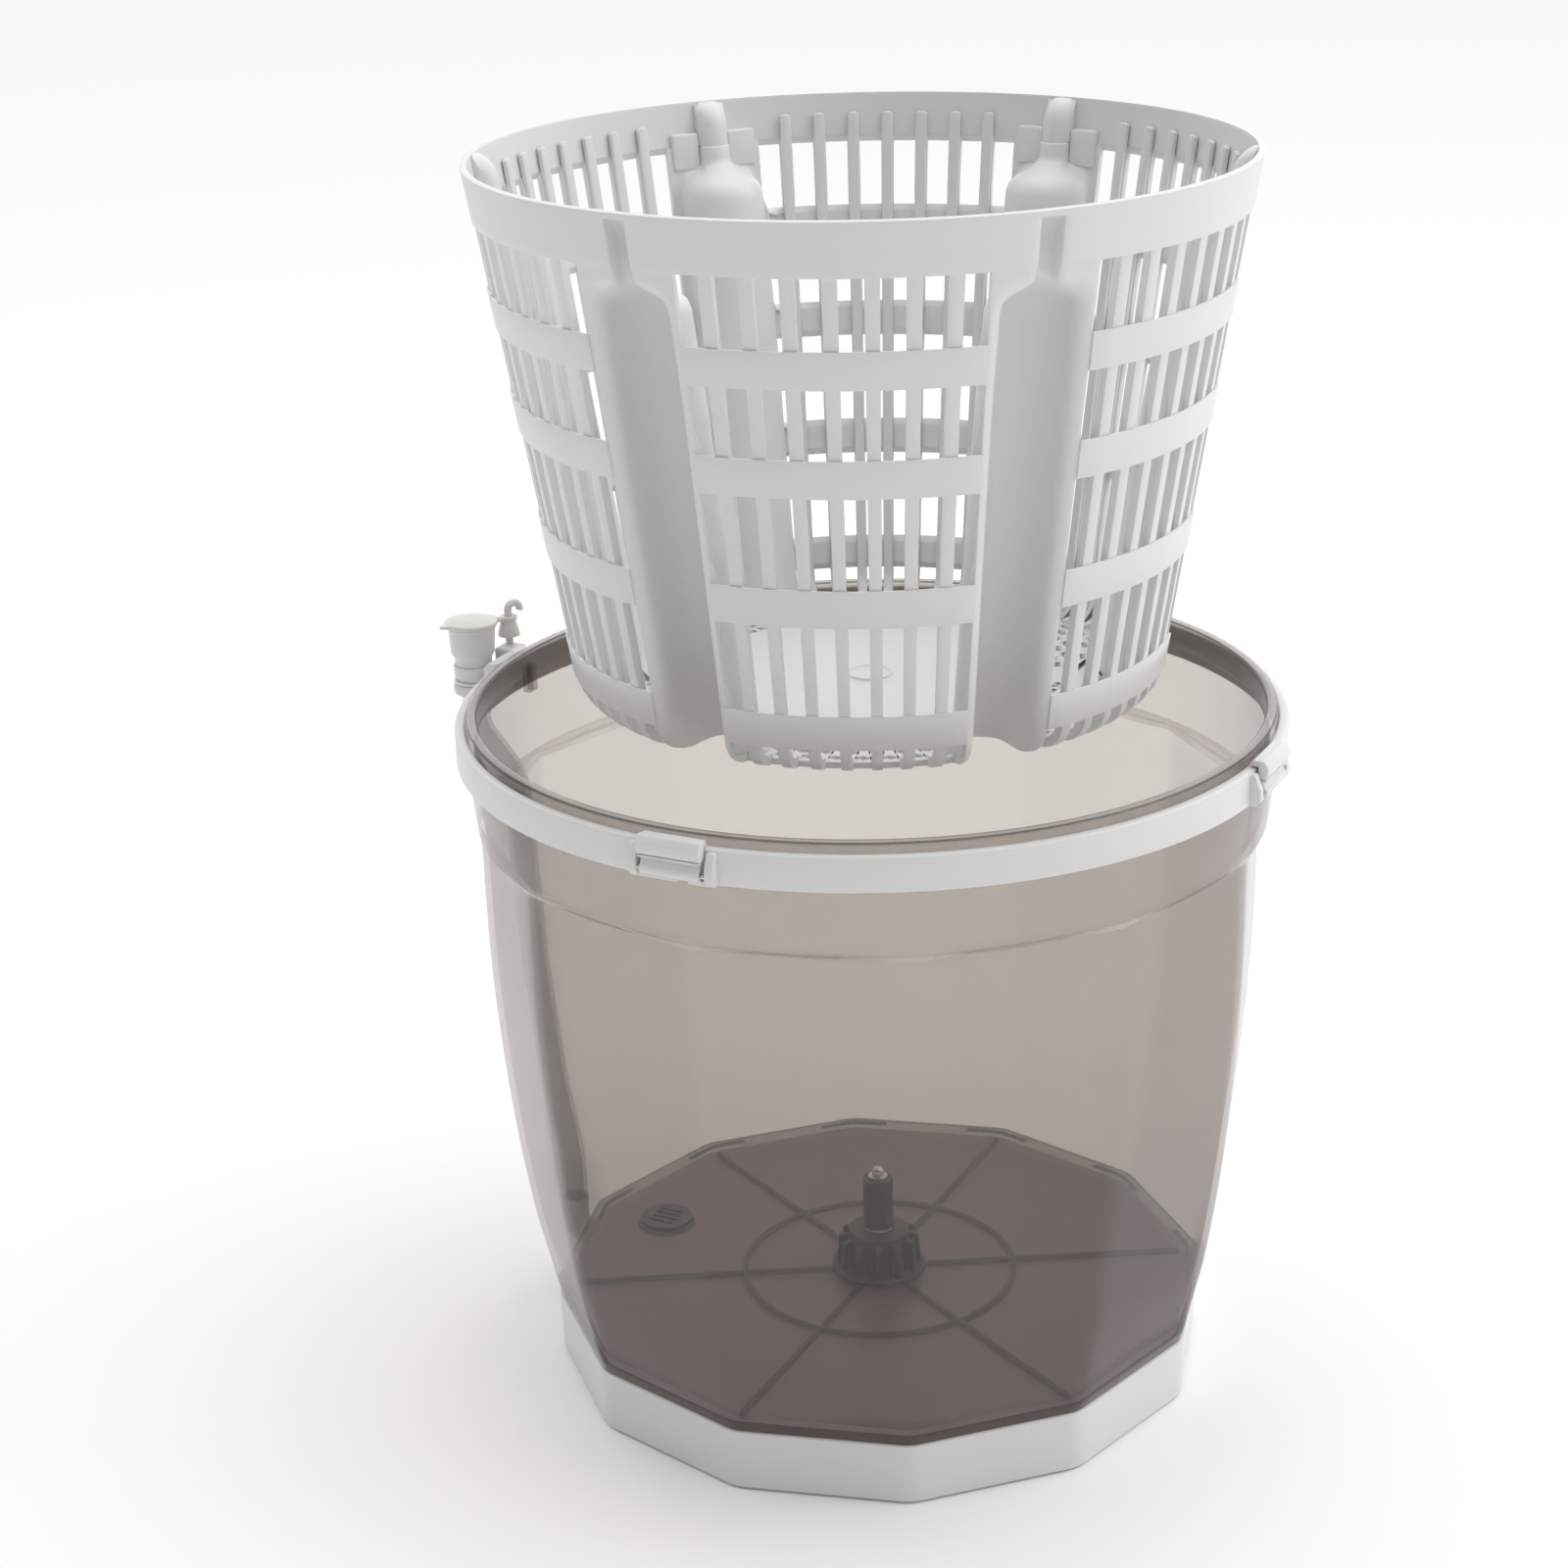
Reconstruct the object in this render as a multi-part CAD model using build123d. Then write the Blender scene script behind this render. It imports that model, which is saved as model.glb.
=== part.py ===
from build123d import *
import math
import os

# A tub spinner for washing and drying salad: a smoked clear tub on a white twelve-sided base,
# with a slotted basket that lifts out and turns on a post in the middle of the tub floor.
# Millimetres, +Z up, origin at the middle of the base where it rests on the table.
# Bearings round the tub are angles from the front (-Y) towards the right (+X).

SIDES = 12
SIDE_TURN = 4.7

# Tub
TUB_BOTTOM_Z = 27.0
FLOOR_TOP_Z = 32.0
FLOOR_THICKNESS = 2.5
CREASE_Z = 246.0
LIP_TOP_Z = 295.0
LIP_RADIUS = 165.0
WALL = 2.5
# Height and corner radius of the twelve-sided wall, from its foot to the round collar.
WALL_SECTIONS = ((27.0, 139.5), (45.0, 143.5), (70.0, 149.0), (120.0, 156.0), (180.0, 160.8), (246.0, 162.0))
COLLAR_RADIUS = 162.0
FLOOR_RING_RADIUS = 58.6
FLOOR_RIB_DEPTH = 7.0
FLOOR_RIB_THICKNESS = 2.4
FLOOR_RIB_REACH = 132.0
RIB_BEARINGS = [34.7 + 60.0 * k for k in range(6)]
# Small clear tab inside the collar, behind the drain bracket.
TAB_WIDTH = 6.0
TAB_RADIUS = 158.2
TAB_BOTTOM_Z = 276.5
TAB_TOP_Z = 289.0

# Base
SKIRT_FOOT_RADIUS = 139.5
SKIRT_TOP_RADIUS = 140.3
SKIRT_BOTTOM_Z = 0.5
SKIRT_WALL = 3.0
PLATE_BOTTOM_Z = 3.0
PLATE_TOP_Z = 5.5
PLATE_RADIUS = 136.0
SCREW_CIRCLE = 118.0
SCREW_RADIUS = 1.5
SCREW_HEAD_RADIUS = 3.0
SCREW_TIP_Z = 17.0
BOSS_RADIUS = 4.5
FOOT_RADIUS = 8.0
CENTRE_FOOT_RADIUS = 20.0

# Rim band and lid latches
BAND_BOTTOM_Z = 276.8
BAND_TOP_Z = 290.8
BAND_RADIUS = 169.2
BAND_POCKET_RADIUS = 168.4
LATCH_BEARINGS = {"front": -25.4, "right": 64.6, "rear": 154.6}
LATCH_WIDTH = 26.4
LATCH_GAP = 0.8
CHEEK_WIDTH = 4.5
CHEEK_RADIUS = 173.0
HINGE_RADIUS = 171.4
HINGE_Z = 280.8
BARREL_RADIUS = 2.2
PIN_RADIUS = 0.8
PIN_CLEARANCE = 0.05
LATCH_OUTER_RADIUS = 174.0
LATCH_TOP_Z = 294.2
LATCH_INNER_RADIUS = 169.6
LATCH_ARM_RADIUS = 172.8
LATCH_ARM_TOP_Z = 286.8
FINGER_BOTTOM_Z = 285.3
HOOK_INNER_RADIUS = 166.2

# Post in the middle of the floor
BOSS_TOP_Z = 50.0
BOSS_CORE_RADIUS = 13.0
BOSS_RIB_RADIUS = 18.5
BOSS_RIB_COUNT = 12
POST_RADIUS = 2.5
POST_TIP_Z = 79.2
SLEEVE_RADIUS = 6.5
SLEEVE_FLAT = 5.6
SLEEVE_BOTTOM_Z = 51.1
SLEEVE_TOP_Z = 74.0
RUNNING_CLEARANCE = 0.06
BOSS_SCREW_CIRCLE = 8.5
BOSS_SCREW_RADIUS = 1.2

# Basket, at rest held above the tub
BASKET_BOTTOM_Z = 301.6
BASKET_HEIGHT = 214.0
BASKET_RIM_RADIUS = 152.6
BASKET_CORNER_RADIUS = 119.4
CORNER_HEIGHT = 13.0
BASKET_FLAT_RADIUS = 106.0
BASKET_WALL = 2.4
BASKET_FLOOR = 2.6
SECTORS = 6
FIRST_PILLAR_BEARING = 25.5
SLOTS_PER_SECTOR = 8
SLOT_DEGREES = 3.65
SLOT_PITCH = 5.7
# Lower and upper edge of each row of slots, above the basket's underside.
SLOT_ROWS = ((26.0, 62.0), (76.7, 112.5), (127.0, 153.4), (167.6, 194.0))
FOOT_SLOT_TOP = 12.0
FOOT_SLOT_INNER_RADIUS = 106.0
PILLAR_HALF_WIDTH = 15.0
PILLAR_FOOT_RADIUS = 103.5
PILLAR_HEAD_RADIUS = 138.5
PILLAR_SHOULDER = 180.0
PAD_TOP = 202.0
PEG_WIDTH = 15.0
PEG_DEPTH = 8.0
PEG_TOP = 211.0
PEG_GROOVE_WIDTH = 9.2
FLOOR_HOLE_SIZE = 3.4
FLOOR_HOLE_PITCH = 5.8
FLOOR_HOLE_RINGS = ((77.0, 8), (83.0, 7), (89.0, 8), (95.0, 7), (101.0, 8))
BUSH_RADIUS = 10.0
BUSH_BORE = 6.9
BUSH_FLAT = 6.0
BUSH_LENGTH = 22.0

# Drain: floor outlet, pipe under the floor, hose up the outside, capped spout beside the rim
DRAIN_BEARING = -114.4
OUTLET_RADIUS = 105.0
OUTLET_BORE = 9.0
PIPE_Z = 16.0
PIPE_RADIUS = 6.0
PIPE_BORE = 4.2
PIPE_END_RADIUS = 143.0
OUTLET_SEAL = 1.2
OUTLET_FLANGE = 1.8
OUTLET_FLANGE_RADIUS = 13.0
OUTLET_BOTTOM_Z = 8.5
ELBOW_RADIUS = 152.0
ELBOW_TOP_Z = 34.0
ELBOW_BEND = 8.5
HOSE_BENDS = [80.0, 200.0, 200.0, 24.0, 15.0]
SPOUT_RADIUS = 188.5
SPOUT_BOTTOM_Z = 277.5
SPOUT_TUBE_RADIUS = 8.1
SPOUT_CUP_RADIUS = 10.75
SPOUT_CUP_Z = 289.0
SPOUT_TOP_Z = 303.5
SPOUT_BORE = 6.6
SPOUT_MOUTH = 9.3
COLLAR_BEAD_RADIUS = 9.2
COLLAR_BEAD_Z = 272.5
CAP_RADIUS = 11.6
CAP_TOP_Z = 306.5
STEM_OFFSET = (15.3, 9.5)
STEM_RADIUS = 1.7
STEM_BOTTOM_Z = 290.0
HOOK_TOP_Z = 311.0
HOOK_BEND = 2.8
HOOK_TURN = 200.0
BRACKET_RADIUS = 175.0
BRACKET_HALF = 14.0
BRACKET_TOP_Z = 291.5
SHELF_HALF = 5.5
SHELF_BOTTOM_Z = 284.5
CLASP_WALL = 2.2
CLASP_BOTTOM_Z = 280.0
CLASP_TOP_Z = 286.0
STRAP_RADIUS = 4.0
STRAP_BOTTOM_Z = 295.0
STRAP_TOP_Z = 304.0
TONGUE_WIDTH = 6.0
TONGUE_THICKNESS = 1.6


def around(shape, bearing):
    """Turn a shape built at the front (-Y) to a bearing round the tub."""
    return Rot(0, 0, bearing) * shape


def twelve_sided(radius, z):
    """A flat twelve-sided face at a height, with its corners on a circle."""
    return Pos(0, 0, z) * RegularPolygon(radius, SIDES, rotation=SIDE_TURN)


def disc(radius, low, high):
    """A cylinder on the axis between two heights."""
    return Pos(0, 0, low) * Cylinder(radius, high - low, align=(Align.CENTER, Align.CENTER, Align.MIN))


def ring(outer, inner, low, high):
    """A tube on the axis between two heights."""
    return disc(outer, low, high) - disc(inner, low - 1, high + 1)


def at_front(radius, shape, x=0.0):
    """Move a shape that stands on the axis out to a radius at the front."""
    return Pos(x, -radius, 0) * shape


def block(x_half, inner, outer, low, high):
    """A block at the front, between two radii and two heights, centred on the bearing."""
    size = Box(2 * x_half, outer - inner, high - low)
    return Pos(0, -(inner + outer) / 2, (low + high) / 2) * size


def revolved(points):
    """Turn an outline of (radius, height) points about the axis."""
    outline = make_face(Polyline(*[(r, 0, z) for r, z in points], close=True))
    return revolve(outline, Axis.Z)


# ---------------------------------------------------------------- tub

def wall_block(inset, low):
    """The solid inside the twelve-sided wall, made smaller by inset, from a height upwards."""
    sections = [(z, r) for z, r in WALL_SECTIONS if z > low]
    first_z, first_r = WALL_SECTIONS[0]
    next_z, next_r = WALL_SECTIONS[1]
    start = first_r + (next_r - first_r) * (low - first_z) / (next_z - first_z)
    faces = [twelve_sided(start - inset, low)]
    for z, r in sections:
        faces.append(twelve_sided(r - inset, z))
    return loft(faces, ruled=True)


def make_tub():
    """Smoked clear tub: twelve-sided wall, round collar and lip, ribbed floor."""
    body = wall_block(0.0, TUB_BOTTOM_Z)
    body -= wall_block(WALL, FLOOR_TOP_Z)
    body -= disc(150.0, CREASE_Z - 1, CREASE_Z + 1)
    below = twelve_sided(WALL_SECTIONS[0][1] - WALL, TUB_BOTTOM_Z)
    body -= extrude(below, amount=FLOOR_TOP_Z - FLOOR_THICKNESS - TUB_BOTTOM_Z)
    collar = revolved((
        (152.5, CREASE_Z - 2.5), (COLLAR_RADIUS - 2, CREASE_Z - 2.5), (COLLAR_RADIUS, CREASE_Z),
        (LIP_RADIUS, BAND_BOTTOM_Z), (LIP_RADIUS, LIP_TOP_Z - 1.2), (LIP_RADIUS - 1.2, LIP_TOP_Z),
        (LIP_RADIUS - 3.8, LIP_TOP_Z), (LIP_RADIUS - 5, LIP_TOP_Z - 1.2), (LIP_RADIUS - 5, BAND_BOTTOM_Z + 7),
        (LIP_RADIUS - 3, BAND_BOTTOM_Z + 6), (LIP_RADIUS - 3, BAND_BOTTOM_Z),
        (COLLAR_RADIUS - 3, CREASE_Z + 1), (152.5, CREASE_Z + 0.5),
    ))
    body += collar
    rib_top = FLOOR_TOP_Z - FLOOR_THICKNESS
    rib_low = rib_top - FLOOR_RIB_DEPTH
    ribs = ring(FLOOR_RING_RADIUS + 1.2, FLOOR_RING_RADIUS - 1.2, rib_low, rib_top)
    for bearing in RIB_BEARINGS:
        ribs += around(block(FLOOR_RIB_THICKNESS / 2, 12.0, FLOOR_RIB_REACH, rib_low, rib_top), bearing)
    for bearing in SCREW_BEARINGS:
        ribs += around(at_front(SCREW_CIRCLE, disc(BOSS_RADIUS, PLATE_TOP_Z, rib_top)), bearing)
    body += ribs
    for bearing in SCREW_BEARINGS:
        body -= around(at_front(SCREW_CIRCLE, disc(SCREW_RADIUS, 0, SCREW_TIP_Z)), bearing)
    tab = block(TAB_WIDTH / 2, TAB_RADIUS, COLLAR_RADIUS + 1, TAB_BOTTOM_Z, TAB_TOP_Z)
    body += around(tab, DRAIN_BEARING)
    body -= disc(POST_RADIUS, 0, 40)
    for bearing in BOSS_SCREW_BEARINGS:
        body -= around(at_front(BOSS_SCREW_CIRCLE, disc(BOSS_SCREW_RADIUS, 20, 40)), bearing)
    body -= at_drain(OUTLET_RADIUS, disc(OUTLET_BORE, 20, 40))
    return body


def at_drain(radius, shape):
    """Move a shape that stands on the axis out to the drain's bearing."""
    return around(at_front(radius, shape), DRAIN_BEARING)


# ---------------------------------------------------------------- base

SCREW_BEARINGS = RIB_BEARINGS
FOOT_BEARINGS = [19.7 + 60.0 * k for k in range(6)]
BOSS_SCREW_BEARINGS = [4.7 + 120.0 * k for k in range(3)]


def make_skirt():
    """White twelve-sided skirt that the tub stands in, with a hole where the drain pipe leaves."""
    outer = loft([twelve_sided(SKIRT_FOOT_RADIUS, SKIRT_BOTTOM_Z), twelve_sided(SKIRT_TOP_RADIUS, TUB_BOTTOM_Z)])
    inner = loft([
        twelve_sided(SKIRT_FOOT_RADIUS - SKIRT_WALL, SKIRT_BOTTOM_Z),
        twelve_sided(SKIRT_TOP_RADIUS - SKIRT_WALL, TUB_BOTTOM_Z),
    ])
    hole = around(Pos(0, -136, PIPE_Z) * Rot(90, 0, 0) * Cylinder(PIPE_RADIUS + 2.0, 20), DRAIN_BEARING)
    return outer - inner - hole


def make_plate():
    """Flat bottom plate inside the skirt, held by six screws."""
    plate = extrude(twelve_sided(PLATE_RADIUS, PLATE_BOTTOM_Z), amount=PLATE_TOP_Z - PLATE_BOTTOM_Z)
    for bearing in SCREW_BEARINGS:
        plate -= around(at_front(SCREW_CIRCLE, disc(SCREW_RADIUS, 0, 10)), bearing)
    return plate


def make_base_screws():
    """Six self-tapping screws, up through the plate into the bosses under the floor."""
    screws = []
    for bearing in SCREW_BEARINGS:
        screw = disc(SCREW_RADIUS, PLATE_BOTTOM_Z - 1.6, SCREW_TIP_Z)
        screw += disc(SCREW_HEAD_RADIUS, PLATE_BOTTOM_Z - 1.6, PLATE_BOTTOM_Z)
        screws.append(around(at_front(SCREW_CIRCLE, screw), bearing))
    return Compound(children=screws)


def make_feet():
    """Six round rubber feet near the edge and a wide one in the middle."""
    feet = [disc(CENTRE_FOOT_RADIUS, 0, PLATE_BOTTOM_Z)]
    for bearing in FOOT_BEARINGS:
        feet.append(around(at_front(SCREW_CIRCLE, disc(FOOT_RADIUS, 0, PLATE_BOTTOM_Z)), bearing))
    return Compound(children=feet)


# ---------------------------------------------------------------- rim band and latches

def make_band():
    """White band round the rim, with a housing of two cheeks and a lower bar for each latch."""
    band = revolved((
        (LIP_RADIUS, BAND_BOTTOM_Z), (BAND_RADIUS - 1, BAND_BOTTOM_Z), (BAND_RADIUS, BAND_BOTTOM_Z + 1),
        (BAND_RADIUS, BAND_TOP_Z - 1), (BAND_RADIUS - 1, BAND_TOP_Z), (LIP_RADIUS, BAND_TOP_Z),
    ))
    half = LATCH_WIDTH / 2 + LATCH_GAP
    for bearing in LATCH_BEARINGS.values():
        band -= around(block(half, BAND_POCKET_RADIUS, 180, BAND_BOTTOM_Z + 1.5, BAND_TOP_Z + 1), bearing)
        for side in (-1, 1):
            cheek = block(CHEEK_WIDTH / 2, BAND_POCKET_RADIUS - 2, CHEEK_RADIUS, BAND_BOTTOM_Z, BAND_TOP_Z - 1)
            cheek = fillet(cheek.edges().filter_by(Axis.X).group_by(Axis.Y)[0], 1.2)
            band += around(Pos(side * (half + CHEEK_WIDTH / 2), 0, 0) * cheek, bearing)
        bar = block(half + 1, BAND_POCKET_RADIUS - 2, HINGE_RADIUS - 0.6, BAND_BOTTOM_Z, BAND_BOTTOM_Z + 1.5)
        band += around(bar, bearing)
        band -= around(latch_pin(0.0), bearing)
    return band


def latch_pin(growth):
    """The hinge pin of a latch, at the front, made longer and thicker by growth."""
    length = LATCH_WIDTH + 2 * LATCH_GAP + CHEEK_WIDTH
    return Pos(0, -HINGE_RADIUS, HINGE_Z) * Rot(0, 90, 0) * Cylinder(PIN_RADIUS + growth, length)


def make_latch(bearing):
    """One lid latch: hinge barrel, arm, finger block, and a hook that reaches over the band."""
    barrel_size = Cylinder(BARREL_RADIUS, LATCH_WIDTH - 2)
    barrel = Pos(0, -HINGE_RADIUS, HINGE_Z) * Rot(0, 90, 0) * barrel_size
    arm = block(LATCH_WIDTH / 2 - 1, LATCH_INNER_RADIUS, LATCH_ARM_RADIUS, HINGE_Z, LATCH_ARM_TOP_Z)
    finger = block(LATCH_WIDTH / 2, LATCH_INNER_RADIUS, LATCH_OUTER_RADIUS, FINGER_BOTTOM_Z, LATCH_TOP_Z)
    finger = fillet(finger.edges().filter_by(Axis.X).group_by(Axis.Y)[0], 1.4)
    hook_half = LATCH_WIDTH / 2 - 0.6
    hook = block(hook_half, HOOK_INNER_RADIUS, LATCH_INNER_RADIUS + 0.4, BAND_TOP_Z + 0.4, LATCH_TOP_Z - 0.2)
    return around(barrel + arm + finger + hook - latch_pin(PIN_CLEARANCE), bearing)


def make_latch_pins():
    """A steel pin through each latch and both of its cheeks."""
    return Compound(children=[around(latch_pin(0.0), bearing) for bearing in LATCH_BEARINGS.values()])


# ---------------------------------------------------------------- post

def make_boss():
    """Ribbed boss on the floor that holds the steel post upright."""
    boss = disc(BOSS_CORE_RADIUS, FLOOR_TOP_Z, BOSS_TOP_Z)
    for k in range(BOSS_RIB_COUNT):
        rib = block(1.3, 10.0, BOSS_RIB_RADIUS, FLOOR_TOP_Z, BOSS_TOP_Z - 3)
        boss += around(rib, 360.0 / BOSS_RIB_COUNT * k)
    boss -= disc(POST_RADIUS, 0, 60)
    for bearing in BOSS_SCREW_BEARINGS:
        boss -= around(at_front(BOSS_SCREW_CIRCLE, disc(BOSS_SCREW_RADIUS, 20, 44)), bearing)
    return boss


def make_boss_screws():
    """Three screws, up through the floor into the boss."""
    low = FLOOR_TOP_Z - FLOOR_THICKNESS
    screws = []
    for bearing in BOSS_SCREW_BEARINGS:
        screw = disc(BOSS_SCREW_RADIUS, low - 1.5, 43) + disc(2.3, low - 1.5, low)
        screws.append(around(at_front(BOSS_SCREW_CIRCLE, screw), bearing))
    return Compound(children=screws)


def make_post():
    """Steel post with a round tip that carries the basket."""
    post = disc(POST_RADIUS, 26, POST_TIP_Z - POST_RADIUS)
    return post + Pos(0, 0, POST_TIP_Z - POST_RADIUS) * Sphere(POST_RADIUS)


def flats(radius, half, low, high):
    """A cylinder on the axis with two flats across it."""
    return disc(radius, low, high) & Pos(0, 0, (low + high) / 2) * Box(4 * radius, 2 * half, high - low)


def make_sleeve():
    """Sleeve that turns on the post; its two flats drive the basket's bush."""
    bore = disc(POST_RADIUS + RUNNING_CLEARANCE, 40, 90)
    return flats(SLEEVE_RADIUS, SLEEVE_FLAT, SLEEVE_BOTTOM_Z, SLEEVE_TOP_Z) - bore


# ---------------------------------------------------------------- basket

def basket_radius(height):
    """Outer radius of the basket's wall at a height above its underside."""
    rise = (height - CORNER_HEIGHT) / (BASKET_HEIGHT - CORNER_HEIGHT)
    return BASKET_CORNER_RADIUS + (BASKET_RIM_RADIUS - BASKET_CORNER_RADIUS) * rise


def basket_outline(inset, top):
    """Half outline of the basket's outside, moved inwards by inset, closed up to a height."""
    low = inset
    flat = BASKET_FLAT_RADIUS - inset / 2
    corner = (BASKET_CORNER_RADIUS - inset, 0, CORNER_HEIGHT + inset)
    rim = (basket_radius(top) - inset, 0, top)
    edges = [
        Line((0, 0, low), (flat, 0, low)),
        TangentArc((flat, 0, low), corner, tangent=(1, 0, 0)),
        Line(corner, rim),
        Line(rim, (0, 0, top)),
        Line((0, 0, top), (0, 0, low)),
    ]
    return make_face(edges)


def pillar_bar(half, top):
    """A leaning U-shaped bar, round on the inside and open outwards, at the front."""
    foot = Circle(half) + Pos(0, -20) * Rectangle(2 * half, 40)
    rise = Vector(0, PILLAR_FOOT_RADIUS - PILLAR_HEAD_RADIUS, PILLAR_SHOULDER)
    low = -0.1 * rise
    amount = rise.length * (top / PILLAR_SHOULDER + 0.1)
    return extrude(Pos(low.X, low.Y - PILLAR_FOOT_RADIUS, low.Z) * foot, amount=amount, dir=rise.normalized())


def slot_tools():
    """Every slot of one sector, as blocks that cut through the wall."""
    tools = []
    start = -(SLOTS_PER_SECTOR - 1) / 2
    for k in range(SLOTS_PER_SECTOR):
        bearing = (start + k) * SLOT_PITCH
        for low, high in SLOT_ROWS:
            middle = basket_radius((low + high) / 2)
            half = math.tan(math.radians(SLOT_DEGREES / 2)) * middle
            tools.append(around(block(half, middle - 7, middle + 7, low, high), bearing))
        half = math.tan(math.radians(SLOT_DEGREES / 2)) * BASKET_CORNER_RADIUS
        tools.append(around(block(half, FOOT_SLOT_INNER_RADIUS, 130.0, -2, FOOT_SLOT_TOP), bearing))
    return tools


def floor_tools():
    """The diamond holes of one sector of the basket's floor, in staggered rows."""
    tools = []
    for radius, count in FLOOR_HOLE_RINGS:
        for k in range(count):
            bearing = (k - (count - 1) / 2) * FLOOR_HOLE_PITCH
            hole = Rot(0, 0, 45) * Box(FLOOR_HOLE_SIZE, FLOOR_HOLE_SIZE, 20)
            tools.append(around(at_front(radius, hole), bearing))
    return tools


def make_basket():
    """White slotted basket with six hollow pillars, open at the top."""
    inner = revolve(basket_outline(BASKET_WALL, BASKET_HEIGHT + 1), Axis.Z)
    body = revolve(basket_outline(0.0, BASKET_HEIGHT), Axis.Z) - inner
    lining = pillar_bar(PILLAR_HALF_WIDTH + BASKET_WALL, PILLAR_SHOULDER) & inner
    groove = pillar_bar(PILLAR_HALF_WIDTH, PILLAR_SHOULDER - BASKET_WALL)
    pad_low = PILLAR_SHOULDER - 6
    pad = block(19.0, basket_radius(PILLAR_SHOULDER) - 5.5, BASKET_RIM_RADIUS, pad_low, PAD_TOP) & inner
    peg_inner = BASKET_RIM_RADIUS - BASKET_WALL - PEG_DEPTH
    peg = block(PEG_WIDTH / 2, peg_inner, BASKET_RIM_RADIUS, pad_low, PEG_TOP) & inner
    peg_groove = block(PEG_GROOVE_WIDTH / 2, peg_inner + BASKET_WALL, BASKET_RIM_RADIUS + 5, pad_low, PEG_TOP - 3)
    pillars = []
    grooves = []
    slots = []
    for k in range(SECTORS):
        bearing = FIRST_PILLAR_BEARING + 360.0 / SECTORS * k
        pillars += [around(lining, bearing), around(pad, bearing), around(peg, bearing)]
        grooves += [around(groove, bearing), around(peg_groove, bearing)]
        for tool in slot_tools() + floor_tools():
            slots.append(around(tool, bearing + 180.0 / SECTORS))
    body = body.fuse(*pillars)
    body = body.cut(*grooves, *slots)
    body = max(body.solids(), key=lambda solid: solid.volume)
    return Pos(0, 0, BASKET_BOTTOM_Z) * body


def make_bush():
    """Bush under the basket that drops over the sleeve and its flats."""
    low = BASKET_BOTTOM_Z - BUSH_LENGTH
    return disc(BUSH_RADIUS, low, BASKET_BOTTOM_Z) - flats(BUSH_BORE, BUSH_FLAT, low - 1, BASKET_BOTTOM_Z + 1)


# ---------------------------------------------------------------- drain

def make_strainer():
    """Round grid in the drain hole of the floor."""
    grid = disc(OUTLET_BORE + 2.5, FLOOR_TOP_Z, FLOOR_TOP_Z + 1.2)
    grid += ring(OUTLET_BORE, OUTLET_BORE - 1.2, FLOOR_TOP_Z - 2, FLOOR_TOP_Z)
    for x in (-5.4, -1.8, 1.8, 5.4):
        grid -= Pos(x, 0, FLOOR_TOP_Z) * Box(1.8, 12.0, 10)
    return at_drain(OUTLET_RADIUS, grid)


def make_drain_seal():
    """Flat rubber ring between the floor and the outlet's flange."""
    low = FLOOR_TOP_Z - FLOOR_THICKNESS - OUTLET_SEAL
    return at_drain(OUTLET_RADIUS, ring(OUTLET_FLANGE_RADIUS, OUTLET_BORE, low, low + OUTLET_SEAL))


def make_outlet():
    """Outlet cup under the floor, with a pipe that runs out through the skirt."""
    flange_top = FLOOR_TOP_Z - FLOOR_THICKNESS - OUTLET_SEAL
    cup = disc(OUTLET_FLANGE_RADIUS, flange_top - OUTLET_FLANGE, flange_top)
    cup += disc(OUTLET_BORE + 1.5, OUTLET_BOTTOM_Z, flange_top)
    cup -= disc(OUTLET_BORE - 0.5, OUTLET_BOTTOM_Z + 2, flange_top + 1)
    cup = at_drain(OUTLET_RADIUS, cup)
    length = PIPE_END_RADIUS - OUTLET_RADIUS
    pipe = Pos(0, -(OUTLET_RADIUS + length / 2), PIPE_Z) * Rot(90, 0, 0) * Cylinder(PIPE_RADIUS, length)
    bore = Pos(0, -(OUTLET_RADIUS + 25.0), PIPE_Z) * Rot(90, 0, 0) * Cylinder(PIPE_BORE, 50.0)
    pipe = around(pipe, DRAIN_BEARING) - at_drain(OUTLET_RADIUS, disc(OUTLET_BORE - 0.5, 0, 40))
    return cup + pipe - around(bore, DRAIN_BEARING)


def make_grommet():
    """Rubber ring round the pipe where it passes through the skirt."""
    hole = Rot(90, 0, 0) * Cylinder(PIPE_RADIUS, 20)
    lip = Rot(90, 0, 0) * Cylinder(PIPE_RADIUS + 2.0, 6.4)
    return around(Pos(0, -136.4, PIPE_Z) * (lip - hole), DRAIN_BEARING)


def tube_along(points, radii, outer, inner):
    """A tube along straight runs joined by arcs, in the drain's upright plane."""
    path = FilletPolyline(*[(0, -r, z) for r, z in points], radius=radii)
    plane = Plane(origin=path @ 0, z_dir=path % 0)
    return around(sweep(plane * Circle(outer), path) - sweep(plane * Circle(inner), path), DRAIN_BEARING)


def make_elbow():
    """Elbow outside the skirt that turns the drain upwards."""
    route = ((PIPE_END_RADIUS, PIPE_Z), (ELBOW_RADIUS, PIPE_Z), (ELBOW_RADIUS, ELBOW_TOP_Z))
    return tube_along(route, ELBOW_BEND, PIPE_RADIUS, PIPE_BORE)


def make_hose():
    """Hose from the elbow up the outside of the tub to the spout."""
    route = (
        (ELBOW_RADIUS, ELBOW_TOP_Z), (ELBOW_RADIUS, 52.0), (159.8, 94.0), (165.8, 148.0), (170.5, 236.0),
        (SPOUT_RADIUS, 257.0), (SPOUT_RADIUS, COLLAR_BEAD_Z),
    )
    return tube_along(route, HOSE_BENDS, PIPE_RADIUS, PIPE_BORE)


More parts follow.
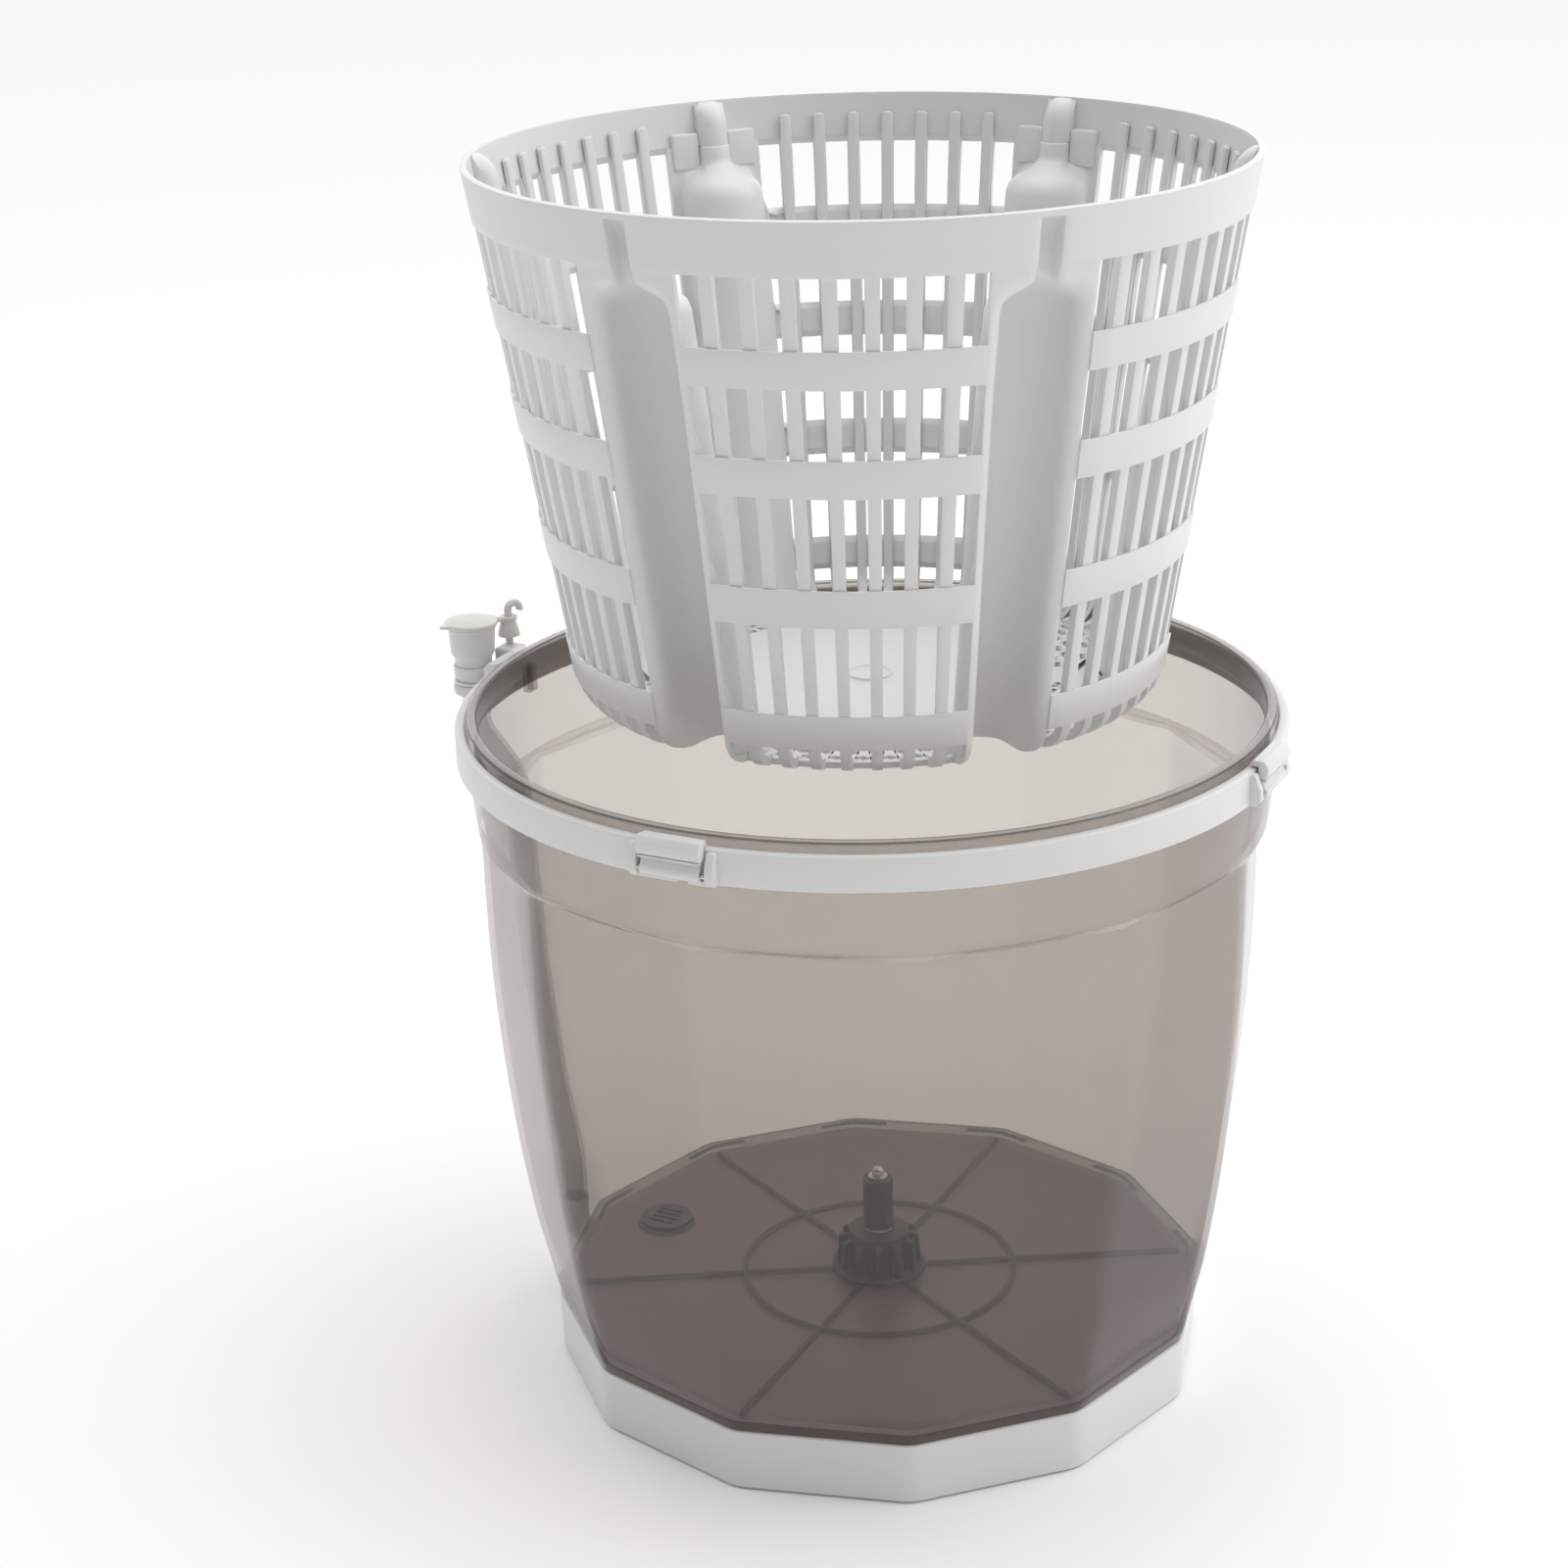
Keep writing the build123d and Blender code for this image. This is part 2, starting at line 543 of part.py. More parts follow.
def make_collar():
    """Ivory collar that clamps the hose to the spout."""
    bead = ring(COLLAR_BEAD_RADIUS, SPOUT_BORE, COLLAR_BEAD_Z, SPOUT_BOTTOM_Z)
    bead = fillet(bead.edges().filter_by(GeomType.CIRCLE).group_by(SortBy.RADIUS)[-1], 1.6)
    return at_drain(SPOUT_RADIUS, bead)


def make_spout():
    """Upright spout with a wider cup at its mouth."""
    outline = (
        (SPOUT_BORE, SPOUT_BOTTOM_Z), (SPOUT_TUBE_RADIUS, SPOUT_BOTTOM_Z),
        (SPOUT_TUBE_RADIUS, SPOUT_CUP_Z), (SPOUT_CUP_RADIUS - 0.6, SPOUT_CUP_Z + 3),
        (SPOUT_CUP_RADIUS, SPOUT_TOP_Z), (SPOUT_MOUTH, SPOUT_TOP_Z),
        (SPOUT_MOUTH - 0.3, SPOUT_CUP_Z + 4), (SPOUT_BORE, SPOUT_CUP_Z + 2),
    )
    return at_drain(SPOUT_RADIUS, revolved(outline))


# Direction from the spout to the hook's stem, in the frame built at the front.
STEM_DISTANCE = math.hypot(*STEM_OFFSET)
STRAP_TURN = math.degrees(math.atan2(STEM_OFFSET[1], -STEM_OFFSET[0]))


def on_strap(shape):
    """Place a shape built with the spout at the origin and the stem along +X."""
    return at_drain(SPOUT_RADIUS, Rot(0, 0, STRAP_TURN) * shape)


def make_bracket():
    """White bracket on the band: it holds the spout and carries a hooked stem."""
    foot = block(BRACKET_HALF, BAND_RADIUS, BRACKET_RADIUS, BAND_BOTTOM_Z + 1, BRACKET_TOP_Z)
    foot = fillet(foot.edges().filter_by(Axis.X).group_by(Axis.Y)[0], 1.5)
    clasp = ring(SPOUT_TUBE_RADIUS + CLASP_WALL, SPOUT_TUBE_RADIUS, CLASP_BOTTOM_Z, CLASP_TOP_Z)
    web_end = SPOUT_RADIUS - SPOUT_TUBE_RADIUS - 0.6
    web = block(4.0, BRACKET_RADIUS - 1, web_end, CLASP_BOTTOM_Z, CLASP_TOP_Z)
    body = around(foot + web + at_front(SPOUT_RADIUS, clasp), DRAIN_BEARING)
    shelf = block(SHELF_HALF, BRACKET_RADIUS - 3, BRACKET_RADIUS + 7, SHELF_BOTTOM_Z, BRACKET_TOP_Z)
    body += around(Pos(3.0 - STEM_OFFSET[0], 0, 0) * shelf, DRAIN_BEARING)
    stem_top = HOOK_TOP_Z - HOOK_BEND - STEM_RADIUS
    body += on_strap(Pos(STEM_DISTANCE, 0, 0) * disc(STEM_RADIUS, STEM_BOTTOM_Z, stem_top))
    arch = Plane.XZ * CenterArc((0, 0), HOOK_BEND, 180, -HOOK_TURN)
    arch = Pos(STEM_DISTANCE + HOOK_BEND, 0, stem_top) * arch
    start = Plane(origin=(STEM_DISTANCE, 0, stem_top), z_dir=(0, 0, 1))
    return body + on_strap(sweep(start * Circle(STEM_RADIUS), arch))


def make_strap():
    """Ivory ring of the cap's strap, round the stem."""
    sleeve = ring(STRAP_RADIUS, STEM_RADIUS, STRAP_BOTTOM_Z, STRAP_TOP_Z)
    tongue = Pos(1 - STRAP_RADIUS, 0, STRAP_TOP_Z - 0.8) * Box(3.0, TONGUE_WIDTH, TONGUE_THICKNESS)
    tongue -= disc(STRAP_RADIUS - 1, STRAP_BOTTOM_Z, STRAP_TOP_Z + 1)
    return on_strap(Pos(STEM_DISTANCE, 0, 0) * (sleeve + tongue))


def make_cap():
    """Ivory cap with a tapered plug, a pointed finger tab and a short tongue towards the stem."""
    cap = disc(CAP_RADIUS, SPOUT_TOP_Z, CAP_TOP_Z)
    cap = fillet(cap.edges().group_by(Axis.Z)[-1], 1.2)
    plug = Pos(0, 0, SPOUT_TOP_Z - 5.0) * Cone(8.1, 8.9, 5.0, align=(Align.CENTER, Align.CENTER, Align.MIN))
    tab = Polyline((-9.0, -7.0), (-14.8, 0.0), (-9.0, 7.0), close=True)
    tab = Pos(0, 0, SPOUT_TOP_Z + 0.6) * extrude(make_face(tab), amount=1.6)
    tongue = Pos(CAP_RADIUS - 0.2, 0, SPOUT_TOP_Z + 0.8) * Box(1.6, TONGUE_WIDTH, TONGUE_THICKNESS)
    return on_strap(cap + plug + tab + tongue)


# ---------------------------------------------------------------- every piece of the spinner

def all_parts():
    """Every node's name and shape."""
    parts = {
        "tub": make_tub(),
        "base_skirt": make_skirt(),
        "base_plate": make_plate(),
        "base_screws": make_base_screws(),
        "rubber_feet": make_feet(),
        "rim_band": make_band(),
        "latch_pins": make_latch_pins(),
        "centre_boss": make_boss(),
        "boss_screws": make_boss_screws(),
        "steel_post": make_post(),
        "thrust_washer": ring(6.0, POST_RADIUS, BOSS_TOP_Z, SLEEVE_BOTTOM_Z - 0.1),
        "drive_sleeve": make_sleeve(),
        "retaining_ring": ring(4.2, POST_RADIUS, SLEEVE_TOP_Z + 0.2, SLEEVE_TOP_Z + 1.1),
        "basket": make_basket(),
        "basket_bush": make_bush(),
        "drain_strainer": make_strainer(),
        "drain_seal": make_drain_seal(),
        "drain_outlet": make_outlet(),
        "pipe_grommet": make_grommet(),
        "drain_elbow": make_elbow(),
        "drain_hose": make_hose(),
        "spout_collar": make_collar(),
        "drain_spout": make_spout(),
        "spout_bracket": make_bracket(),
        "cap_strap": make_strap(),
        "drain_cap": make_cap(),
    }
    for place, bearing in LATCH_BEARINGS.items():
        parts["latch_" + place] = make_latch(bearing)
    return parts


os.makedirs("parts", exist_ok=True)
for name, shape in all_parts().items():
    export_step(shape, "parts/" + name + ".step")
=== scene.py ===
import math

import bmesh
import bpy
from mathutils import Matrix, Vector


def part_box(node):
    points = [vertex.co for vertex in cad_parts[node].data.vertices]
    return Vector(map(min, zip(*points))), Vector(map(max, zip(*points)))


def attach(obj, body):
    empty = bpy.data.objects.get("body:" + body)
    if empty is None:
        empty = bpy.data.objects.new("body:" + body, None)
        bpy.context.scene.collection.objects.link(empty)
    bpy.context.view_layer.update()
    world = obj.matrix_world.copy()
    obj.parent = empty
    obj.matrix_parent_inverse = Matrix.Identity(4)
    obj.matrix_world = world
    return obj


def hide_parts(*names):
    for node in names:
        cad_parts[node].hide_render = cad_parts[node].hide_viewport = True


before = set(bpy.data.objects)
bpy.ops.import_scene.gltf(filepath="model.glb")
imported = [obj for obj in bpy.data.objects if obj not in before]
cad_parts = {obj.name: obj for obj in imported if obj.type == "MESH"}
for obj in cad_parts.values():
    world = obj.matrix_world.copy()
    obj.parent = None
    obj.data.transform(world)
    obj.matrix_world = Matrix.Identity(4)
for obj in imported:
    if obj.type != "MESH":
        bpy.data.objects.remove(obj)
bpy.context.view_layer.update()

bl_info = {
    "name": "Tub salad spinner",
    "version": (1, 0, 0),
    "blender": (4, 5, 0),
    "location": "3D View > Sidebar > Spinner",
    "description": "Builds the looks of a tub salad spinner round its packed frame",
    "category": "Add Mesh",
}

# Shapes are worked in millimetres in the frame's own axes: +Z up, the front at -Y, bearings from the
# front towards the right. They turn to metres when a piece is finished.
MM = 0.001
SIDES = 12
SIDE_TURN = 4.7

# Band and latches
BAND_LOW = 276.8
BAND_HIGH = 290.8
BAND_RADIUS = 169.2
LATCHES = {"front": -25.4, "right": 64.6, "rear": 154.6}
LATCH_HALF = 13.2
HINGE_RADIUS = 171.4
HINGE_HEIGHT = 280.8

# Tub, from its foot to the lip
LIP_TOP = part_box("tub")[1].z / MM
CREASE = 246.0
COLLAR_RADIUS = 162.0
LIP_RADIUS = 165.0
MEAN_TUB_RADIUS = 150.0
SKIRT_RADIUS = 140.0
FLOOR_TOP = 32.0
FLOOR_UNDER = 29.5
FLOOR_MARGIN = 8.0
# Heights of the painted shadow on the tub's foot below its floor and of the painted shade line just above it
FOOT_SHADOW_TOP = 31.6
FOOT_SHADE_LINE_TOP = 32.6
RIM_STEP = BAND_LOW + 5.6
TAB_LOW = 276.5
TAB_HIGH = 289.0
WALL_SECTIONS = ((27.0, 139.5), (45.0, 143.5), (70.0, 149.0), (120.0, 156.0), (180.0, 160.8), (246.0, 162.0))
RIB_BEARINGS = [34.7 + 60.0 * k for k in range(6)]
RIB_LOW = 22.5
RIB_HIGH = FLOOR_TOP - 0.4
RIB_RING = (57.4, 59.8)
FOOT_BEARINGS = [19.7 + 60.0 * k for k in range(6)]
FEET_CIRCLE = 118.0

# The tub's finishes, in the order of its materials, and the heights that take one of their own
WALL, FLOOR, RIM, LIP, SHADE_LINE, RIB, FOOT, UNDERSIDE, SHOULDER = range(9)
FINISH_BANDS = (
    # painted shadow on the foot below the tub's floor
    (0.0, FOOT_SHADOW_TOP, FOOT),
    # painted shade line round the foot
    (FOOT_SHADOW_TOP, FOOT_SHADE_LINE_TOP, SHADE_LINE),
    # painted highlight: a bright arc round the shoulder at the crease
    (CREASE - 0.5, CREASE + 2.0, SHOULDER),
    # painted shade line on the rim's inner step
    (RIM_STEP + 0.6, RIM_STEP + 1.7, SHADE_LINE),
    (RIM_STEP + 1.7, LIP_TOP - 1.1, RIM),
    # painted shade line under the lip's top, for the dark line that refraction makes at the rounded edge
    (LIP_TOP - 1.1, LIP_TOP - 0.25, SHADE_LINE),
    (LIP_TOP - 0.25, LIP_TOP + 1.0, LIP),
)

# Boss and post
BOSS_LOW = FLOOR_TOP + 0.02
BOSS_RIBS = 12
POST_RADIUS = 2.5
POST_SHOULDER = 76.7

# Basket, measured up from its underside
BASKET_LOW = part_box("basket")[0].z / MM
BASKET_HEIGHT = 214.0
RIM_RADIUS = 152.6
CORNER_RADIUS = 119.4
CORNER_HEIGHT = 13.0
FLAT_RADIUS = 106.0
HOLES_OUTER_RADIUS = 104.0
HOLE_PITCH = 6.0
HOLE_RINGS = 5
HOLES_INNER_RADIUS = HOLES_OUTER_RADIUS - HOLE_RINGS * HOLE_PITCH
SLOT_FOOT_RADIUS = 106.5
RIM_BAND_LOW = 194.0
FIRST_PILLAR = 25.5
SECTORS = 6
SECTOR_DEGREES = 360.0 / SECTORS
SLOTS = 8
SLOT_DEGREES = 3.65
RIB_DEGREES = 2.05
PILLAR_EDGE = 8.225
SLOT_ROWS = ((-1.0, 12.0), (26.0, 62.0), (76.7, 112.5), (127.0, 153.4), (167.6, 194.0))
HOOP_ROWS = ((12.0, 26.0), (62.0, 76.7), (112.5, 127.0), (153.4, 167.6))
FLUTE_COLUMNS = 28
FLUTE_TOP = 190.0
FLUTE_FADE = 177.5
FLUTE_CENTRES = (103.5, 138.5)
FLUTE_CENTRE_SPAN = 180.0
FLUTE_TAPER = 2.6
FLUTE_TAPER_SPAN = 150.0
FLUTE_BLEND = 5.0
GROOVE_HALF = 4.2
GROOVE_BLEND = 1.6
GROOVE_DEPTH = 8.0
GROOVE_TOP = 212.0
RIB_OVERLAP = 0.5

# Drain
DRAIN_BEARING = -114.4
SPOUT_RADIUS = 188.5
STEM_OFFSET = (15.3, 9.5)
STEM_DISTANCE = math.hypot(*STEM_OFFSET)
STRAP_TURN = math.degrees(math.atan2(STEM_OFFSET[1], -STEM_OFFSET[0]))
STEM_RADIUS = 1.7
STEM_FOOT = 288.0
STEM_TOP = 306.5
HOOK_BEND = 2.8
HOOK_TURN = 198.0

# Share of the light that clear plastic mirrors, head on and added on edge
GLEAM_HEAD_ON = 0.03
GLEAM_ON_EDGE = 0.6

# Stage, in metres
STAGE_HALF = 12.0
STAGE_DROP = 0.0002
LAMP_AIM = Vector((0.0, 0.0, 0.26))
CAMERA_PLACE = Vector((0.0, -1.2066, 0.7070))
CAMERA_YAW = -1.71
CAMERA_PITCH = 20.47
CAMERA_ROLL = -1.55


# ---------------------------------------------------------------- settings

class SpinnerColours(bpy.types.PropertyGroup):
    """Colours of the spinner's plastics, metal, rubber and stage"""

    white: bpy.props.FloatVectorProperty(
        name="White plastic", description="Basket, band, latches and base",
        subtype="COLOR", size=3, min=0.0, max=1.0, default=(0.75, 0.75, 0.755))
    ivory: bpy.props.FloatVectorProperty(
        name="Ivory plastic", description="Drain cap, strap and hose collar",
        subtype="COLOR", size=3, min=0.0, max=1.0, default=(0.74, 0.725, 0.675))
    smoke: bpy.props.FloatVectorProperty(
        name="Smoked tint", description="Share of light that one face of the tub's wall lets through",
        subtype="COLOR", size=3, min=0.0, max=1.0, default=(0.803, 0.777, 0.752))
    smoke_edge: bpy.props.FloatVectorProperty(
        name="Smoked tint at the edge", description="The same share where the wall is seen on edge",
        subtype="COLOR", size=3, min=0.0, max=1.0, default=(0.66, 0.635, 0.645))
    smoke_haze: bpy.props.FloatVectorProperty(
        name="Haze", description="Colour of the light that the smoked plastic scatters back",
        subtype="COLOR", size=3, min=0.0, max=1.0, default=(0.42, 0.385, 0.36))
    # The tub's ribs take a near-black share of the floor colour as painted shade
    floor_haze: bpy.props.FloatVectorProperty(
        name="Tub floor", description="Colour of the tub's thick floor and its ribs",
        subtype="COLOR", size=3, min=0.0, max=1.0, default=(0.40, 0.31, 0.345))
    nylon: bpy.props.FloatVectorProperty(
        name="Dark nylon", description="Boss, sleeve and washer",
        subtype="COLOR", size=3, min=0.0, max=1.0, default=(0.07, 0.067, 0.066))
    steel: bpy.props.FloatVectorProperty(
        name="Steel", description="Post, pins and screws",
        subtype="COLOR", size=3, min=0.0, max=1.0, default=(0.62, 0.62, 0.61))
    rubber: bpy.props.FloatVectorProperty(
        name="Rubber", description="Feet, seal and grommet",
        subtype="COLOR", size=3, min=0.0, max=1.0, default=(0.045, 0.045, 0.047))
    hose: bpy.props.FloatVectorProperty(
        name="Hose", description="Flexible drain hose",
        subtype="COLOR", size=3, min=0.0, max=1.0, default=(0.62, 0.615, 0.60))
    stage: bpy.props.FloatVectorProperty(
        name="Floor of the stage", description="Plain pale floor that the spinner stands on",
        subtype="COLOR", size=3, min=0.0, max=1.0, default=(0.97, 0.97, 0.97))


class SpinnerSizes(bpy.types.PropertyGroup):
    """Sizes of the finish that a maker would change"""

    tub_wall: bpy.props.FloatProperty(
        name="Tub wall", description="Thickness of the tub's wall",
        unit="LENGTH", default=0.0025)
    facet_corner: bpy.props.FloatProperty(
        name="Flat's corner", description="Width of the rounding between two flats",
        unit="LENGTH", default=0.0035)
    basket_wall: bpy.props.FloatProperty(
        name="Basket wall", description="Thickness of the basket's wall and floor",
        unit="LENGTH", default=0.0024)
    hoop_relief: bpy.props.FloatProperty(
        name="Hoop relief", description="How far the hoops stand out from the ribs",
        unit="LENGTH", default=0.0009)
    rib_depth: bpy.props.FloatProperty(
        name="Rib depth", description="How far the ribs stand into the basket",
        unit="LENGTH", default=0.0017)
    flute_half: bpy.props.FloatProperty(
        name="Flute half width", description="Half the width of a pillar's flute",
        unit="LENGTH", default=0.015)
    moulded_edge: bpy.props.FloatProperty(
        name="Moulded edge", description="Rounding of the basket's slot edges",
        unit="LENGTH", default=0.00035)
    hinge_gap: bpy.props.FloatProperty(
        name="Latch gap", description="Gap between a latch and its cheeks",
        unit="LENGTH", default=0.0008)


def mm(length):
    """A length property in millimetres."""
    return length / MM


# ---------------------------------------------------------------- shapes

def polar(bearing, radius, height):
    """The point at a bearing, radius and height."""
    turn = math.radians(bearing)
    return Vector((radius * math.sin(turn), -radius * math.cos(turn), height))


def turned(bearing):
    """The turn that takes a shape built at the front to a bearing."""
    return Matrix.Rotation(math.radians(bearing), 4, "Z")


def smooth_share(value, low, high):
    """0 below low, 1 above high, and an S-shaped ramp between them."""
    share = min(1.0, max(0.0, (value - low) / (high - low)))
    return share * share * (3.0 - 2.0 * share)


def between(a, b, share):
    """The value that lies a share of the way from a to b."""
    return a + (b - a) * share


def joined(*shapes):
    """One shape that holds the others, each given alone or with the transform that places it."""
    whole = bmesh.new()
    for item in shapes:
        shape, place = item if isinstance(item, tuple) else (item, None)
        if place is not None:
            bmesh.ops.transform(shape, matrix=place, verts=shape.verts)
        loose = bpy.data.meshes.new("loose")
        shape.to_mesh(loose)
        shape.free()
        whole.from_mesh(loose)
        bpy.data.meshes.remove(loose)
    return whole


def outline_chain(shape, points, closed):
    """Points of (radius, height) joined by edges, at the front."""
    verts = [shape.verts.new((0.0, -radius, height)) for radius, height in points]
    pairs = list(zip(verts, verts[1:]))
    if closed:
        pairs.append((verts[-1], verts[0]))
    for start, end in pairs:
        shape.edges.new((start, end))
    return verts


def spun(points, soften=0.0, steps=96, closed=False, segments=3):
    """An outline of (radius, height) points turned once about the axis, its corners softened first."""
    shape = bmesh.new()
    verts = outline_chain(shape, points, closed)
    if soften:
        soften_corners(shape, verts if closed else verts[1:-1], soften, segments)
    bmesh.ops.spin(
        shape, geom=shape.verts[:] + shape.edges[:], axis=(0, 0, 1), cent=(0, 0, 0),
        angle=2 * math.pi, steps=steps, use_merge=True, use_duplicate=False)
    bmesh.ops.remove_doubles(shape, verts=shape.verts, dist=1e-4)
    bmesh.ops.recalc_face_normals(shape, faces=shape.faces)
    return shape


def soften_edges(shape, edges, width, segments=2):
    """Round some edges of a shape."""
    bmesh.ops.bevel(
        shape, geom=edges, offset=width, offset_type="OFFSET", segments=segments,
        profile=0.5, affect="EDGES", material=-1, clamp_overlap=True)


def soften_corners(shape, points, width, segments=3):
    """Round the corners of an outline."""
    bmesh.ops.bevel(
        shape, geom=points, offset=width, offset_type="OFFSET", segments=segments,
        profile=0.5, affect="VERTICES", material=-1, clamp_overlap=True)


def new_points(grown):
    """The points that an extrusion made."""
    return [item for item in grown["geom"] if isinstance(item, bmesh.types.BMVert)]


def fill_gaps(shape):
    """Close every open ring of edges with one face."""
    bmesh.ops.holes_fill(shape, edges=[edge for edge in shape.edges if edge.is_boundary], sides=0)


def block(x_half, inner, outer, low, high, soften=0.6, segments=2, middle=0.0):
    """A softened block at the front, between two radii and two heights."""
    shape = bmesh.new()
    place = Matrix.Translation((middle, -(inner + outer) / 2, (low + high) / 2))
    size = Matrix.Diagonal((2 * x_half, outer - inner, high - low, 1.0))
    bmesh.ops.create_cube(shape, size=1.0, matrix=place @ size)
    soften_edges(shape, shape.edges[:], soften, segments)
    bmesh.ops.recalc_face_normals(shape, faces=shape.faces)
    return shape


def drawn_block(outline, x_half, soften=0.5, segments=2):
    """A side outline of (radius, height) points at the front, given a width and softened edges."""
    shape = bmesh.new()
    verts = [shape.verts.new((-x_half, -radius, height)) for radius, height in outline]
    face = shape.faces.new(verts)
    grown = bmesh.ops.extrude_face_region(shape, geom=[face])
    bmesh.ops.translate(shape, vec=(2 * x_half, 0, 0), verts=new_points(grown))
    bmesh.ops.recalc_face_normals(shape, faces=shape.faces)
    soften_edges(shape, shape.edges[:], soften, segments)
    return shape


def rod(radius, length, soften=0.3, segments=20):
    """A round rod along X, centred on the origin."""
    shape = bmesh.new()
    bmesh.ops.create_cone(
        shape, cap_ends=True, segments=segments, radius1=radius, radius2=radius, depth=length,
        matrix=Matrix.Rotation(math.radians(90), 4, "Y"))
    rims = [edge for edge in shape.edges if any(len(face.verts) > 4 for face in edge.link_faces)]
    soften_edges(shape, rims, soften)
    return shape


def wrapped(columns, rows, place):
    """A sheet of quads round the axis, each point put in place by its column and row.

    Each face remembers its column and row.
    """
    shape = bmesh.new()
    bmesh.ops.create_grid(shape, x_segments=columns, y_segments=rows, size=1.0)
    column_of = shape.faces.layers.int.new("column")
    row_of = shape.faces.layers.int.new("row")
    low = min(point.co.x for point in shape.verts)
    high = max(point.co.x for point in shape.verts)
    for face in shape.faces:
        middle = face.calc_center_median()
        face[column_of] = int((middle.x - low) / (high - low) * columns)
        face[row_of] = int((middle.y - low) / (high - low) * rows)
    for point in shape.verts:
        column = round((point.co.x - low) / (high - low) * columns)
        row = round((point.co.y - low) / (high - low) * rows)
        point.co = place(column % columns, row)
    bmesh.ops.remove_doubles(shape, verts=shape.verts, dist=1e-4)
    return shape


def drop_faces(shape, faces):
    """Take faces away, with the edges and points that only they used."""
    bmesh.ops.delete(shape, geom=list(faces), context="FACES")


def set_surface(mesh, angle):
    """Shade a mesh smooth, with sharp edges where it turns by more than an angle."""
    mesh.shade_smooth()
    mesh.set_sharp_from_angle(angle=math.radians(angle))


def finished(name, shape, body, materials, nodes, angle=38.0):
    """Make a piece of a shape, in metres, riding on a body and standing for its nodes."""
    bmesh.ops.scale(shape, vec=(MM, MM, MM), verts=shape.verts)
    mesh = bpy.data.meshes.new(name)
    shape.to_mesh(mesh)
    shape.free()
    piece = bpy.data.objects.new(name, mesh)
    bpy.context.scene.collection.objects.link(piece)
    for material in materials:
        mesh.materials.append(material)
    set_surface(mesh, angle)
    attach(piece, body)
    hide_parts(*nodes)
    return piece


def settle(piece, modifiers):
    """Work modifiers into a piece's mesh."""
    for kind, values in modifiers:
        modifier = piece.modifiers.new(kind.title(), kind)
        for key, value in values.items():
            setattr(modifier, key, value)
    bpy.context.view_layer.update()
    shown = piece.evaluated_get(bpy.context.evaluated_depsgraph_get())
    mesh = bpy.data.meshes.new_from_object(shown)
    piece.modifiers.clear()
    piece.data = mesh


# ---------------------------------------------------------------- materials

def add_node(tree, kind, **values):
    """A node with its settings."""
    node = tree.nodes.new(kind)
    for key, value in values.items():
        setattr(node, key, value)
    return node


def set_inputs(node, **values):
    """Set a node's inputs by name, with _ for a space."""
    for key, value in values.items():
        node.inputs[key.replace("_", " ")].default_value = value


def new_group(name, inputs, outputs):
    """An empty node group with float or colour sockets, as (name, kind, default)."""
    tree = bpy.data.node_groups.new(name, "ShaderNodeTree")
    for label, kind, default in inputs:
        socket = tree.interface.new_socket(label, in_out="INPUT", socket_type="NodeSocket" + kind)
        socket.default_value = default
    for label, kind in outputs:
        tree.interface.new_socket(label, in_out="OUTPUT", socket_type="NodeSocket" + kind)
    return tree, add_node(tree, "NodeGroupInput"), add_node(tree, "NodeGroupOutput")


def stretched_noise(tree, stretches, **values):
    """Noise of its own size along each of the piece's axes."""
    stretch = add_node(tree, "ShaderNodeMapping")
    stretch.inputs["Scale"].default_value = stretches
    noise = add_node(tree, "ShaderNodeTexNoise")
    set_inputs(noise, Scale=1.0, **values)
    tree.links.new(add_node(tree, "ShaderNodeTexCoord").outputs["Object"], stretch.inputs["Vector"])
    tree.links.new(stretch.outputs["Vector"], noise.inputs["Vector"])
    return noise.outputs["Fac"]


def mark_surface(tree, entry, leave, pattern, marks, swing):
    """Let a pattern change a group's colour and gloss by the values of two of its inputs."""
    link = tree.links.new
    centred = add_node(tree, "ShaderNodeMath", operation="SUBTRACT")
    centred.inputs[1].default_value = 0.5
    link(pattern, centred.inputs[0])
    mark = add_node(tree, "ShaderNodeMath", operation="MULTIPLY_ADD")
    mark.inputs[2].default_value = 1.0
    link(centred.outputs[0], mark.inputs[0])
    link(entry.outputs[marks], mark.inputs[1])
    shade = add_node(tree, "ShaderNodeVectorMath", operation="SCALE")
    link(entry.outputs["Colour"], shade.inputs[0])
    link(mark.outputs[0], shade.inputs["Scale"])
    link(shade.outputs["Vector"], leave.inputs["Colour"])
    gloss = add_node(tree, "ShaderNodeMath", operation="MULTIPLY_ADD", use_clamp=True)
    link(centred.outputs[0], gloss.inputs[0])
    link(entry.outputs[swing], gloss.inputs[1])
    link(entry.outputs["Gloss"], gloss.inputs[2])
    link(gloss.outputs[0], leave.inputs["Roughness"])


def moulded_surface():
    """Node group of moulded plastic: faint flow marks in the colour, an uneven gloss and a fine texture."""
    name = "Moulded surface"
    if name in bpy.data.node_groups:
        return bpy.data.node_groups[name]
    tree, entry, leave = new_group(
        name,
        (("Colour", "Color", (0.8, 0.8, 0.8, 1.0)), ("Marks", "Float", 0.03), ("Gloss", "Float", 0.3),
         ("Gloss swing", "Float", 0.06), ("Texture", "Float", 0.2)),
        (("Colour", "Color"), ("Roughness", "Float"), ("Height", "Float")))
    link = tree.links.new
    flow = stretched_noise(tree, (14.0, 14.0, 5.0), Detail=4.0, Roughness=0.55, Distortion=0.6)
    mark_surface(tree, entry, leave, flow, "Marks", "Gloss swing")
    fine = add_node(tree, "ShaderNodeTexNoise")
    set_inputs(fine, Scale=900.0, Detail=2.0, Roughness=0.5)
    link(add_node(tree, "ShaderNodeTexCoord").outputs["Object"], fine.inputs["Vector"])
    height = add_node(tree, "ShaderNodeMath", operation="MULTIPLY")
    link(fine.outputs["Fac"], height.inputs[0])
    link(entry.outputs["Texture"], height.inputs[1])
    link(height.outputs[0], leave.inputs["Height"])
    return tree


